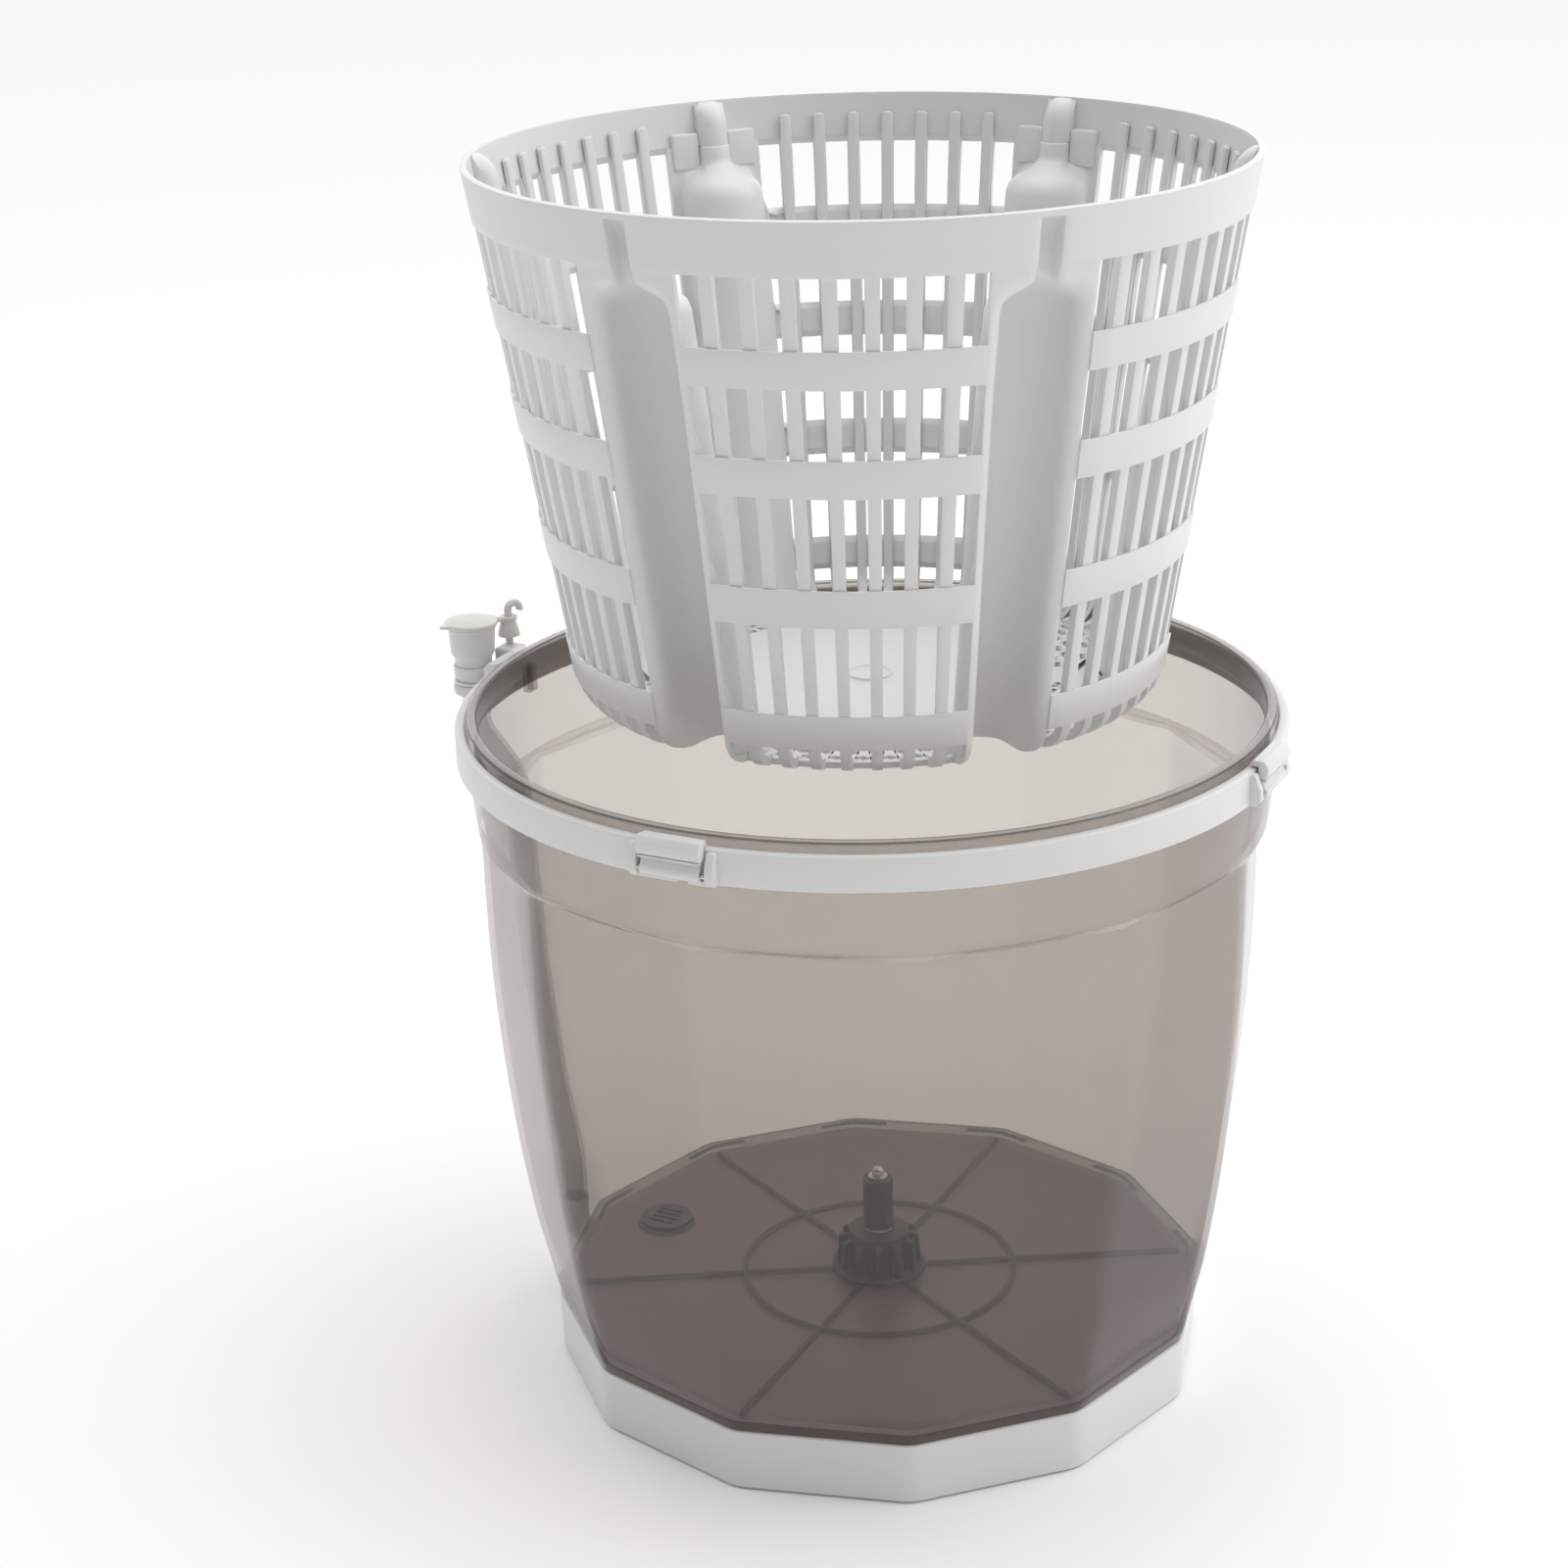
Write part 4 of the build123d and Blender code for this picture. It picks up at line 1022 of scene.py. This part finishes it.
def basket_shape(sizes):
    """The basket's outside as one sheet with its slots and floor holes cut, and its hoops raised."""
    columns = basket_columns()
    relief = mm(sizes.hoop_relief)
    rows = basket_rows(relief)
    half_width = mm(sizes.flute_half)

    def plain_bearing(column, radius):
        kind, bearing, place_in = columns[column]
        if kind == "flute":
            return bearing + PILLAR_EDGE * place_in
        even = (SECTOR_DEGREES - 2 * PILLAR_EDGE) / (2 * SLOTS - 1)
        index = 2 * place_in + (kind == "rib")
        first = bearing - (SLOT_DEGREES + RIB_DEGREES) * place_in - (SLOT_DEGREES if kind == "rib" else 0.0)
        return between(bearing, first + even * index, smooth_share(FLAT_RADIUS - radius, 0.0, 2.0))

    def place(column, row):
        height, radius = rows[row]
        kind, bearing, place_in = columns[column]
        if kind == "flute" and radius >= FLAT_RADIUS:
            across, outward = flute_point(place_in, radius, height, half_width)
            return turned(bearing) @ Vector((across, -outward, height))
        return polar(plain_bearing(column, radius), radius, height)

    sheet = wrapped(len(columns), len(rows) - 1, place)
    column_of = sheet.faces.layers.int["column"]
    row_of = sheet.faces.layers.int["row"]
    # the floor round each flute is one flat face, because the flute's foot doesn't follow the rings
    drop_faces(sheet, [
        face for face in sheet.faces
        if columns[face[column_of]][0] == "flute" and HOLES_INNER_RADIUS <= rows[face[row_of] + 1][1]
        and rows[face[row_of]][1] <= FLAT_RADIUS])
    floor_edges = [
        edge for edge in sheet.edges
        if edge.is_boundary and all(point.co.z < 0.01 and point.co.xy.length > 60.0 for point in edge.verts)]
    bmesh.ops.holes_fill(sheet, edges=floor_edges, sides=0)
    diamonds = []
    slots = []
    hoops = []
    for face in sheet.faces:
        if len(face.verts) > 4:
            continue
        kind = columns[face[column_of]][0]
        (top, outer), (foot, inner) = rows[face[row_of]], rows[face[row_of] + 1]
        middle = (top + foot) / 2
        spread = (outer + inner) / 2
        if spread > SLOT_FOOT_RADIUS and kind == "slot" and in_rows(middle, SLOT_ROWS):
            slots.append(face)
        elif HOLES_INNER_RADIUS < spread < HOLES_OUTER_RADIUS:
            ring = round((HOLES_OUTER_RADIUS - outer) / HOLE_PITCH)
            if kind == ("rib" if ring % 2 else "slot"):
                diamonds.append(face)
        elif in_rows(middle, HOOP_ROWS) and kind != "flute":
            hoops.append(face)
    bmesh.ops.inset_individual(sheet, faces=diamonds, thickness=0.4, depth=0.0, use_even_offset=True)
    for face in diamonds:
        middle = face.calc_center_median()
        bearing = math.degrees(math.atan2(middle.x, -middle.y))
        centred = turned(-bearing) @ Matrix.Translation(-middle)
        eighth = Matrix.Rotation(math.radians(45), 4, "Z")
        narrow = Matrix.Diagonal((0.95, 0.72, 1.0, 1.0))
        bmesh.ops.transform(sheet, matrix=centred.inverted() @ narrow @ eighth @ centred, verts=face.verts[:])
    for point in new_points(bmesh.ops.extrude_face_region(sheet, geom=hoops)):
        point.co += Vector((point.co.x, point.co.y, 0.0)).normalized() * relief
    drop_faces(sheet, slots + diamonds + hoops)
    bmesh.ops.recalc_face_normals(sheet, faces=sheet.faces)
    outwards = sum(
        face.normal.xy.dot(face.calc_center_median().xy)
        for face in sheet.faces if face.calc_center_median().z > CORNER_HEIGHT)
    if outwards < 0.0:
        bmesh.ops.reverse_faces(sheet, faces=sheet.faces)
    return sheet


def rib_shape(sizes):
    """The ribs' inner bars as strips that run from the foot up on to the rim band."""
    bar_top = 206.6
    end_trim, side_trim = 0.55, 0.12
    even = [row for row in basket_rows(0.0) if row[0] <= bar_top and row[1] >= HOLES_OUTER_RADIUS]
    rows = [(bar_top, even[0][1])] + even
    per_sector = (SLOTS - 1) * 2
    inset = mm(sizes.basket_wall) - RIB_OVERLAP

    def place(column, row):
        height, radius = rows[row]
        sector, rest = divmod(column, per_sector)
        rib, side = divmod(rest, 2)
        pillar_end = FIRST_PILLAR + SECTOR_DEGREES * sector + PILLAR_EDGE
        start = pillar_end + SLOT_DEGREES * (rib + 1) + RIB_DEGREES * rib
        trim = end_trim if row == 0 else side_trim
        bearing = start + (RIB_DEGREES - trim if side else trim)
        if radius > CORNER_RADIUS or height >= CORNER_HEIGHT:
            return polar(bearing, radius - inset, height)
        rise = 1.0 - height / CORNER_HEIGHT
        return polar(bearing, radius - inset * math.sqrt(max(0.0, 1.0 - rise ** 2)), height + inset * rise)

    strips = wrapped(SECTORS * per_sector, len(rows) - 1, place)
    column_of = strips.faces.layers.int["column"]
    drop_faces(strips, [face for face in strips.faces if face[column_of] % 2])
    bmesh.ops.recalc_face_normals(strips, faces=strips.faces)
    for face in strips.faces:
        if face.normal.xy.dot(face.calc_center_median().xy) - face.normal.z * 40.0 < 0.0:
            face.normal_flip()
    return strips


def thick(shape, thickness, bevel):
    """A sheet given its thickness inwards and softened edges, as a new shape."""
    mesh = bpy.data.meshes.new("sheet")
    bmesh.ops.scale(shape, vec=(MM, MM, MM), verts=shape.verts)
    shape.to_mesh(mesh)
    shape.free()
    piece = bpy.data.objects.new("sheet", mesh)
    bpy.context.scene.collection.objects.link(piece)
    settle(piece, (
        ("SOLIDIFY", {"thickness": thickness * MM, "offset": -1.0, "use_even_offset": True}),
        ("BEVEL", {
            "width": bevel * MM, "segments": 2, "limit_method": "ANGLE", "angle_limit": math.radians(50),
            "profile": 0.5, "use_clamp_overlap": True}),
    ))
    solid = bmesh.new()
    solid.from_mesh(piece.data)
    bpy.data.objects.remove(piece)
    bmesh.ops.scale(solid, vec=(1 / MM, 1 / MM, 1 / MM), verts=solid.verts)
    return solid


def make_basket(colours, sizes):
    """White slotted basket with hoops, ribs, six hollow pillars with pads and peg grooves, and a holed floor.
    """
    wall = thick(basket_shape(sizes), mm(sizes.basket_wall), mm(sizes.moulded_edge))
    ribs = thick(rib_shape(sizes), mm(sizes.rib_depth) + RIB_OVERLAP, 0.5)
    parts = [wall, ribs]
    for sector in range(SECTORS):
        for across in (-12.8, 12.8):
            pad = drawn_block((
                (143.3, 187.0), (147.0, 187.0), (149.2, 202.0), (145.4, 202.0),
            ), 6.2, soften=1.0, segments=3)
            bmesh.ops.translate(pad, vec=(across, 0, 0), verts=pad.verts)
            parts.append((pad, turned(FIRST_PILLAR + SECTOR_DEGREES * sector)))
    centre = spun((
        (0.0, 0.2), (9.3, 0.2), (9.3, 3.0), (8.5, 3.4), (7.9, 2.6), (0.0, 2.6),
    ), soften=0.2, steps=48)
    parts.append(centre)
    whole = joined(*parts)
    bmesh.ops.translate(whole, vec=(0, 0, BASKET_LOW), verts=whole.verts)
    finished(
        "slotted_basket", whole, "basket_body", [white_plastic(colours)], ["basket"],
        angle=42.0)


# ---------------------------------------------------------------- drain

def at_spout():
    """Place of a shape that stands on the axis, moved to the spout."""
    return turned(DRAIN_BEARING) @ Matrix.Translation((0, -SPOUT_RADIUS, 0))


def on_strap(along=0.0, height=0.0):
    """Place of a shape built with the spout at the origin and the stem along +X, moved along and up."""
    return at_spout() @ turned(STRAP_TURN) @ Matrix.Translation((along, 0, height))


def hooked_stem():
    """Upright stem that bends over into a small open hook."""
    shape = bmesh.new()
    bmesh.ops.create_circle(
        shape, cap_ends=False, segments=16, radius=STEM_RADIUS,
        matrix=Matrix.Translation((0, 0, STEM_FOOT)))
    top = new_points(bmesh.ops.extrude_edge_only(shape, edges=shape.edges[:]))
    bmesh.ops.translate(shape, vec=(0, 0, STEM_TOP - STEM_FOOT), verts=top)
    rim = [edge for edge in shape.edges if all(point in top for point in edge.verts)]
    bmesh.ops.spin(
        shape, geom=top + rim, axis=(0, 1, 0), cent=(HOOK_BEND, 0, STEM_TOP),
        angle=math.radians(HOOK_TURN), steps=16, use_merge=False, use_duplicate=False)
    fill_gaps(shape)
    bmesh.ops.recalc_face_normals(shape, faces=shape.faces)
    return shape


def make_drain(colours):
    """Spout with its flared cup, the ivory collar, the bracket with its hooked stem, and the strap's ring."""
    spout = spun((
        (6.6, 277.5), (7.7, 277.5), (8.1, 287.6), (8.3, 289.4), (9.5, 291.0), (10.15, 301.6), (10.75, 302.2),
        (10.75, 303.5), (9.35, 303.5), (8.6, 293.0), (6.6, 291.0),
    ), soften=0.35, steps=56, closed=True)
    bead = spun((
        (7.6, 277.6), (8.9, 277.6), (8.9, 278.9), (7.6, 278.9),
    ), soften=0.4, steps=56, closed=True)
    finished(
        "flared_spout", joined((spout, at_spout()), (bead, at_spout())), "root",
        [white_plastic(colours)], ["drain_spout"])
    collar = spun((
        (6.15, 272.5), (8.4, 272.5), (9.2, 273.6), (9.2, 276.4), (8.4, 277.45), (6.15, 277.45),
    ), soften=0.6, steps=56, closed=True)
    finished(
        "hose_collar", joined((collar, at_spout())), "root", [ivory_plastic(colours)],
        ["spout_collar"])
    drain = turned(DRAIN_BEARING)
    foot = drawn_block((
        (169.2, 277.9), (173.6, 277.9), (175.0, 279.4), (175.0, 288.8), (173.4, 291.4), (169.2, 291.4),
    ), 14.0, soften=0.6, segments=3)
    step = drawn_block((
        (172.0, 279.0), (178.6, 279.0), (179.6, 280.4), (179.6, 286.6), (178.4, 288.0), (172.0, 288.0),
    ), 7.0, soften=0.6, segments=3)
    clasp = spun(((8.0, 280.6), (8.6, 280.6), (8.8, 285.6), (8.15, 285.6)), soften=0.2, steps=48, closed=True)
    shelf = block(5.5, 172.0, 182.0, 284.5, 291.4, soften=1.2, segments=3, middle=-STEM_OFFSET[0] + 3.0)
    stem = (hooked_stem(), on_strap(STEM_DISTANCE))
    finished(
        "hooked_bracket",
        joined((foot, drain), (step, drain), (clasp, at_spout()), (shelf, drain), stem),
        "root", [white_plastic(colours)], ["spout_bracket"])
    ring = spun((
        (1.8, 295.1), (4.9, 295.1), (4.7, 296.8), (3.9, 299.6), (3.3, 301.8), (3.8, 302.3), (3.9, 303.9),
        (1.8, 303.9),
    ), soften=0.3, steps=40, closed=True)
    tongue = block(2.8, -2.6, -1.2, 302.5, 303.95, soften=0.3)
    placed_tongue = (tongue, on_strap(STEM_DISTANCE - 3.2) @ turned(90.0))
    finished(
        "strap_ring", joined((ring, on_strap(STEM_DISTANCE)), placed_tongue),
        "root", [ivory_plastic(colours)], ["cap_strap"])


def pointed_tab():
    """Flat three-cornered finger tab with rounded corners and edges."""
    thickness = 1.3
    tab = bmesh.new()
    bmesh.ops.create_cone(
        tab, cap_ends=True, segments=3, radius1=9.0, radius2=9.0, depth=thickness, matrix=turned(90.0))
    uprights = [edge for edge in tab.edges if abs(edge.verts[0].co.z - edge.verts[1].co.z) > thickness / 2]
    soften_edges(tab, uprights, 2.2, segments=4)
    rims = [
        edge for edge in tab.edges
        if len(edge.link_faces) == 2 and any(len(face.verts) > 4 for face in edge.link_faces)]
    soften_edges(tab, rims, 0.35)
    return tab


def make_cap(colours):
    """Ivory cap: domed top with a thin rim, pointed finger tab, plug and tongue."""
    top = spun((
        (0.0, 298.6), (7.4, 298.6), (8.3, 299.4), (8.9, 303.5), (11.3, 303.5), (11.6, 304.0), (11.5, 304.9),
        (10.7, 305.3), (9.6, 305.5), (5.0, 306.35), (0.0, 306.5),
    ), soften=0.25, steps=64)
    tongue = block(3.0, -0.7, 0.7, 303.6, 305.0, soften=0.3)
    cap = joined(
        (top, on_strap()), (pointed_tab(), on_strap(-7.2, 304.4)), (tongue, on_strap(11.5) @ turned(90.0)))
    finished("domed_cap", cap, "cap_body", [ivory_plastic(colours)], ["drain_cap"])


# ---------------------------------------------------------------- nodes that keep their own shape

def dress_nodes(colours):
    """Give every node that stays its own finish."""
    finishes = {
        "base_plate": dark_nylon, "base_screws": steel, "latch_pins": steel, "boss_screws": steel,
        "thrust_washer": white_plastic, "drive_sleeve": dark_nylon, "retaining_ring": steel,
        "basket_bush": white_plastic, "drain_strainer": dark_nylon, "drain_seal": rubber,
        "drain_outlet": white_plastic, "pipe_grommet": rubber, "drain_elbow": white_plastic,
        "drain_hose": hose_vinyl,
    }
    for name, finish in finishes.items():
        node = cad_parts[name]
        node.data.materials.clear()
        node.data.materials.append(finish(colours))


# ---------------------------------------------------------------- stage

def make_stage(colours):
    """Pale floor, soft lights and the camera."""
    shape = bmesh.new()
    bmesh.ops.create_grid(shape, x_segments=8, y_segments=8, size=STAGE_HALF)
    mesh = bpy.data.meshes.new("stage_floor")
    shape.to_mesh(mesh)
    shape.free()
    floor = bpy.data.objects.new("stage_floor", mesh)
    floor.location.z = -STAGE_DROP
    bpy.context.scene.collection.objects.link(floor)
    mesh.materials.append(solid_plastic("Stage floor", colours.stage, 0.9, marks=0.0, swing=0.0, bump=0.0))
    make_room_light()
    add_light("key", (1.9, 0.1, 1.9), 1.5, 10.0)
    add_light("fill", (-1.9, -1.0, 1.3), 0.9, 1.2)
    add_light("top", (0.0, 0.3, 2.9), 2.2, 12.0)
    add_camera()
    bpy.context.scene.view_settings.view_transform = "Standard"


def make_room_light():
    """Even light from above, behind and the right, fading towards the front, round a white backdrop."""
    world = bpy.data.worlds.new("Soft room")
    bpy.context.scene.world = world
    world.use_nodes = True
    tree = world.node_tree
    link = tree.links.new
    sky = tree.nodes["Background"]
    sky.inputs["Color"].default_value = (1.0, 1.0, 1.0, 1.0)
    direction = add_node(tree, "ShaderNodeTexCoord")
    side = add_node(tree, "ShaderNodeVectorMath", operation="DOT_PRODUCT")
    side.inputs[1].default_value = (0.36, 0.62, 0.56)
    link(direction.outputs["Generated"], side.inputs[0])
    level = add_node(tree, "ShaderNodeMapRange", interpolation_type="SMOOTHSTEP")
    set_inputs(level, From_Min=-0.65, From_Max=0.65, To_Min=0.06, To_Max=1.2)
    link(side.outputs["Value"], level.inputs["Value"])
    seen = add_node(tree, "ShaderNodeMix", data_type="FLOAT")
    seen.inputs["B"].default_value = 1.0
    link(add_node(tree, "ShaderNodeLightPath").outputs["Is Camera Ray"], seen.inputs["Factor"])
    link(level.outputs["Result"], seen.inputs["A"])
    link(seen.outputs["Result"], sky.inputs["Strength"])


def add_light(name, place, size, power):
    """A large square lamp aimed at the spinner."""
    lamp = bpy.data.lights.new(name, "AREA")
    lamp.shape = "SQUARE"
    lamp.size = size
    lamp.energy = power
    holder = bpy.data.objects.new(name, lamp)
    holder.location = place
    holder.rotation_euler = (LAMP_AIM - Vector(place)).to_track_quat("-Z", "Y").to_euler()
    bpy.context.scene.collection.objects.link(holder)


def add_camera():
    """Camera at the front, looking down on the spinner."""
    yaw, pitch, roll = (math.radians(angle) for angle in (CAMERA_YAW, CAMERA_PITCH, CAMERA_ROLL))
    forward = Vector((math.sin(yaw) * math.cos(pitch), math.cos(yaw) * math.cos(pitch), -math.sin(pitch)))
    level = Vector((math.cos(yaw), -math.sin(yaw), 0.0))
    upright = level.cross(forward)
    right = math.cos(roll) * level + math.sin(roll) * upright
    up = -math.sin(roll) * level + math.cos(roll) * upright
    lens = bpy.data.cameras.new("camera")
    lens.lens = 71.66
    lens.sensor_width = 36.0
    camera = bpy.data.objects.new("camera", lens)
    turn = Matrix((right, up, -forward)).transposed().to_4x4()
    camera.matrix_world = Matrix.Translation(CAMERA_PLACE) @ turn
    bpy.context.scene.collection.objects.link(camera)
    bpy.context.scene.camera = camera


# ---------------------------------------------------------------- operators and panel

class SPINNER_OT_stage(bpy.types.Operator):
    """Pale floor, soft lights and the camera"""
    bl_idname = "spinner.stage"
    bl_label = "Stage"

    def execute(self, context):
        make_stage(context.scene.spinner_colours)
        return {"FINISHED"}


class SPINNER_OT_tub(bpy.types.Operator):
    """Smoked clear tub with its collar, lip and ribbed floor"""
    bl_idname = "spinner.tub"
    bl_label = "Tub"

    def execute(self, context):
        make_tub(context.scene.spinner_colours, context.scene.spinner_sizes)
        return {"FINISHED"}


class SPINNER_OT_base(bpy.types.Operator):
    """White skirt and rubber feet"""
    bl_idname = "spinner.base"
    bl_label = "Base"

    def execute(self, context):
        make_base(context.scene.spinner_colours)
        return {"FINISHED"}


class SPINNER_OT_band(bpy.types.Operator):
    """White rim band with its latch housings"""
    bl_idname = "spinner.band"
    bl_label = "Rim band"

    def execute(self, context):
        make_band(context.scene.spinner_colours, context.scene.spinner_sizes)
        return {"FINISHED"}


class SPINNER_OT_latches(bpy.types.Operator):
    """Three lid latches"""
    bl_idname = "spinner.latches"
    bl_label = "Latches"

    def execute(self, context):
        for name, bearing in LATCHES.items():
            make_latch(name, bearing, context.scene.spinner_colours)
        return {"FINISHED"}


class SPINNER_OT_post(bpy.types.Operator):
    """Ribbed boss and steel post"""
    bl_idname = "spinner.post"
    bl_label = "Post"

    def execute(self, context):
        make_post(context.scene.spinner_colours)
        return {"FINISHED"}


class SPINNER_OT_basket(bpy.types.Operator):
    """Slotted basket with its pillars"""
    bl_idname = "spinner.basket"
    bl_label = "Basket"

    def execute(self, context):
        make_basket(context.scene.spinner_colours, context.scene.spinner_sizes)
        return {"FINISHED"}


class SPINNER_OT_drain(bpy.types.Operator):
    """Spout, collar, bracket and strap ring"""
    bl_idname = "spinner.drain"
    bl_label = "Drain spout"

    def execute(self, context):
        make_drain(context.scene.spinner_colours)
        return {"FINISHED"}


class SPINNER_OT_cap(bpy.types.Operator):
    """Drain cap with its finger tab"""
    bl_idname = "spinner.cap"
    bl_label = "Drain cap"

    def execute(self, context):
        make_cap(context.scene.spinner_colours)
        return {"FINISHED"}


class SPINNER_OT_fittings(bpy.types.Operator):
    """Finishes of the pieces that keep their own shape"""
    bl_idname = "spinner.fittings"
    bl_label = "Fittings"

    def execute(self, context):
        dress_nodes(context.scene.spinner_colours)
        return {"FINISHED"}


STEPS = (
    SPINNER_OT_stage, SPINNER_OT_tub, SPINNER_OT_base, SPINNER_OT_band, SPINNER_OT_latches, SPINNER_OT_post,
    SPINNER_OT_basket, SPINNER_OT_drain, SPINNER_OT_cap, SPINNER_OT_fittings,
)


class SPINNER_PT_panel(bpy.types.Panel):
    """The spinner's pieces, sizes and colours"""
    bl_label = "Tub salad spinner"
    bl_space_type = "VIEW_3D"
    bl_region_type = "UI"
    bl_category = "Spinner"

    def draw(self, context):
        for step in STEPS:
            self.layout.operator(step.bl_idname)
        for group in (context.scene.spinner_sizes, context.scene.spinner_colours):
            for name in group.__annotations__:
                self.layout.prop(group, name)


CLASSES = (SpinnerColours, SpinnerSizes, *STEPS, SPINNER_PT_panel)


def register():
    """Register the classes and the scene's settings."""
    for item in CLASSES:
        bpy.utils.register_class(item)
    bpy.types.Scene.spinner_colours = bpy.props.PointerProperty(type=SpinnerColours)
    bpy.types.Scene.spinner_sizes = bpy.props.PointerProperty(type=SpinnerSizes)


def unregister():
    """Take the settings and the classes away."""
    del bpy.types.Scene.spinner_sizes
    del bpy.types.Scene.spinner_colours
    for item in reversed(CLASSES):
        bpy.utils.unregister_class(item)


def main():
    """Build every piece."""
    register()
    bpy.ops.spinner.stage()
    bpy.ops.spinner.tub()
    bpy.ops.spinner.base()
    bpy.ops.spinner.band()
    bpy.ops.spinner.latches()
    bpy.ops.spinner.post()
    bpy.ops.spinner.basket()
    bpy.ops.spinner.drain()
    bpy.ops.spinner.cap()
    bpy.ops.spinner.fittings()


if __name__ == "__main__":
    main()
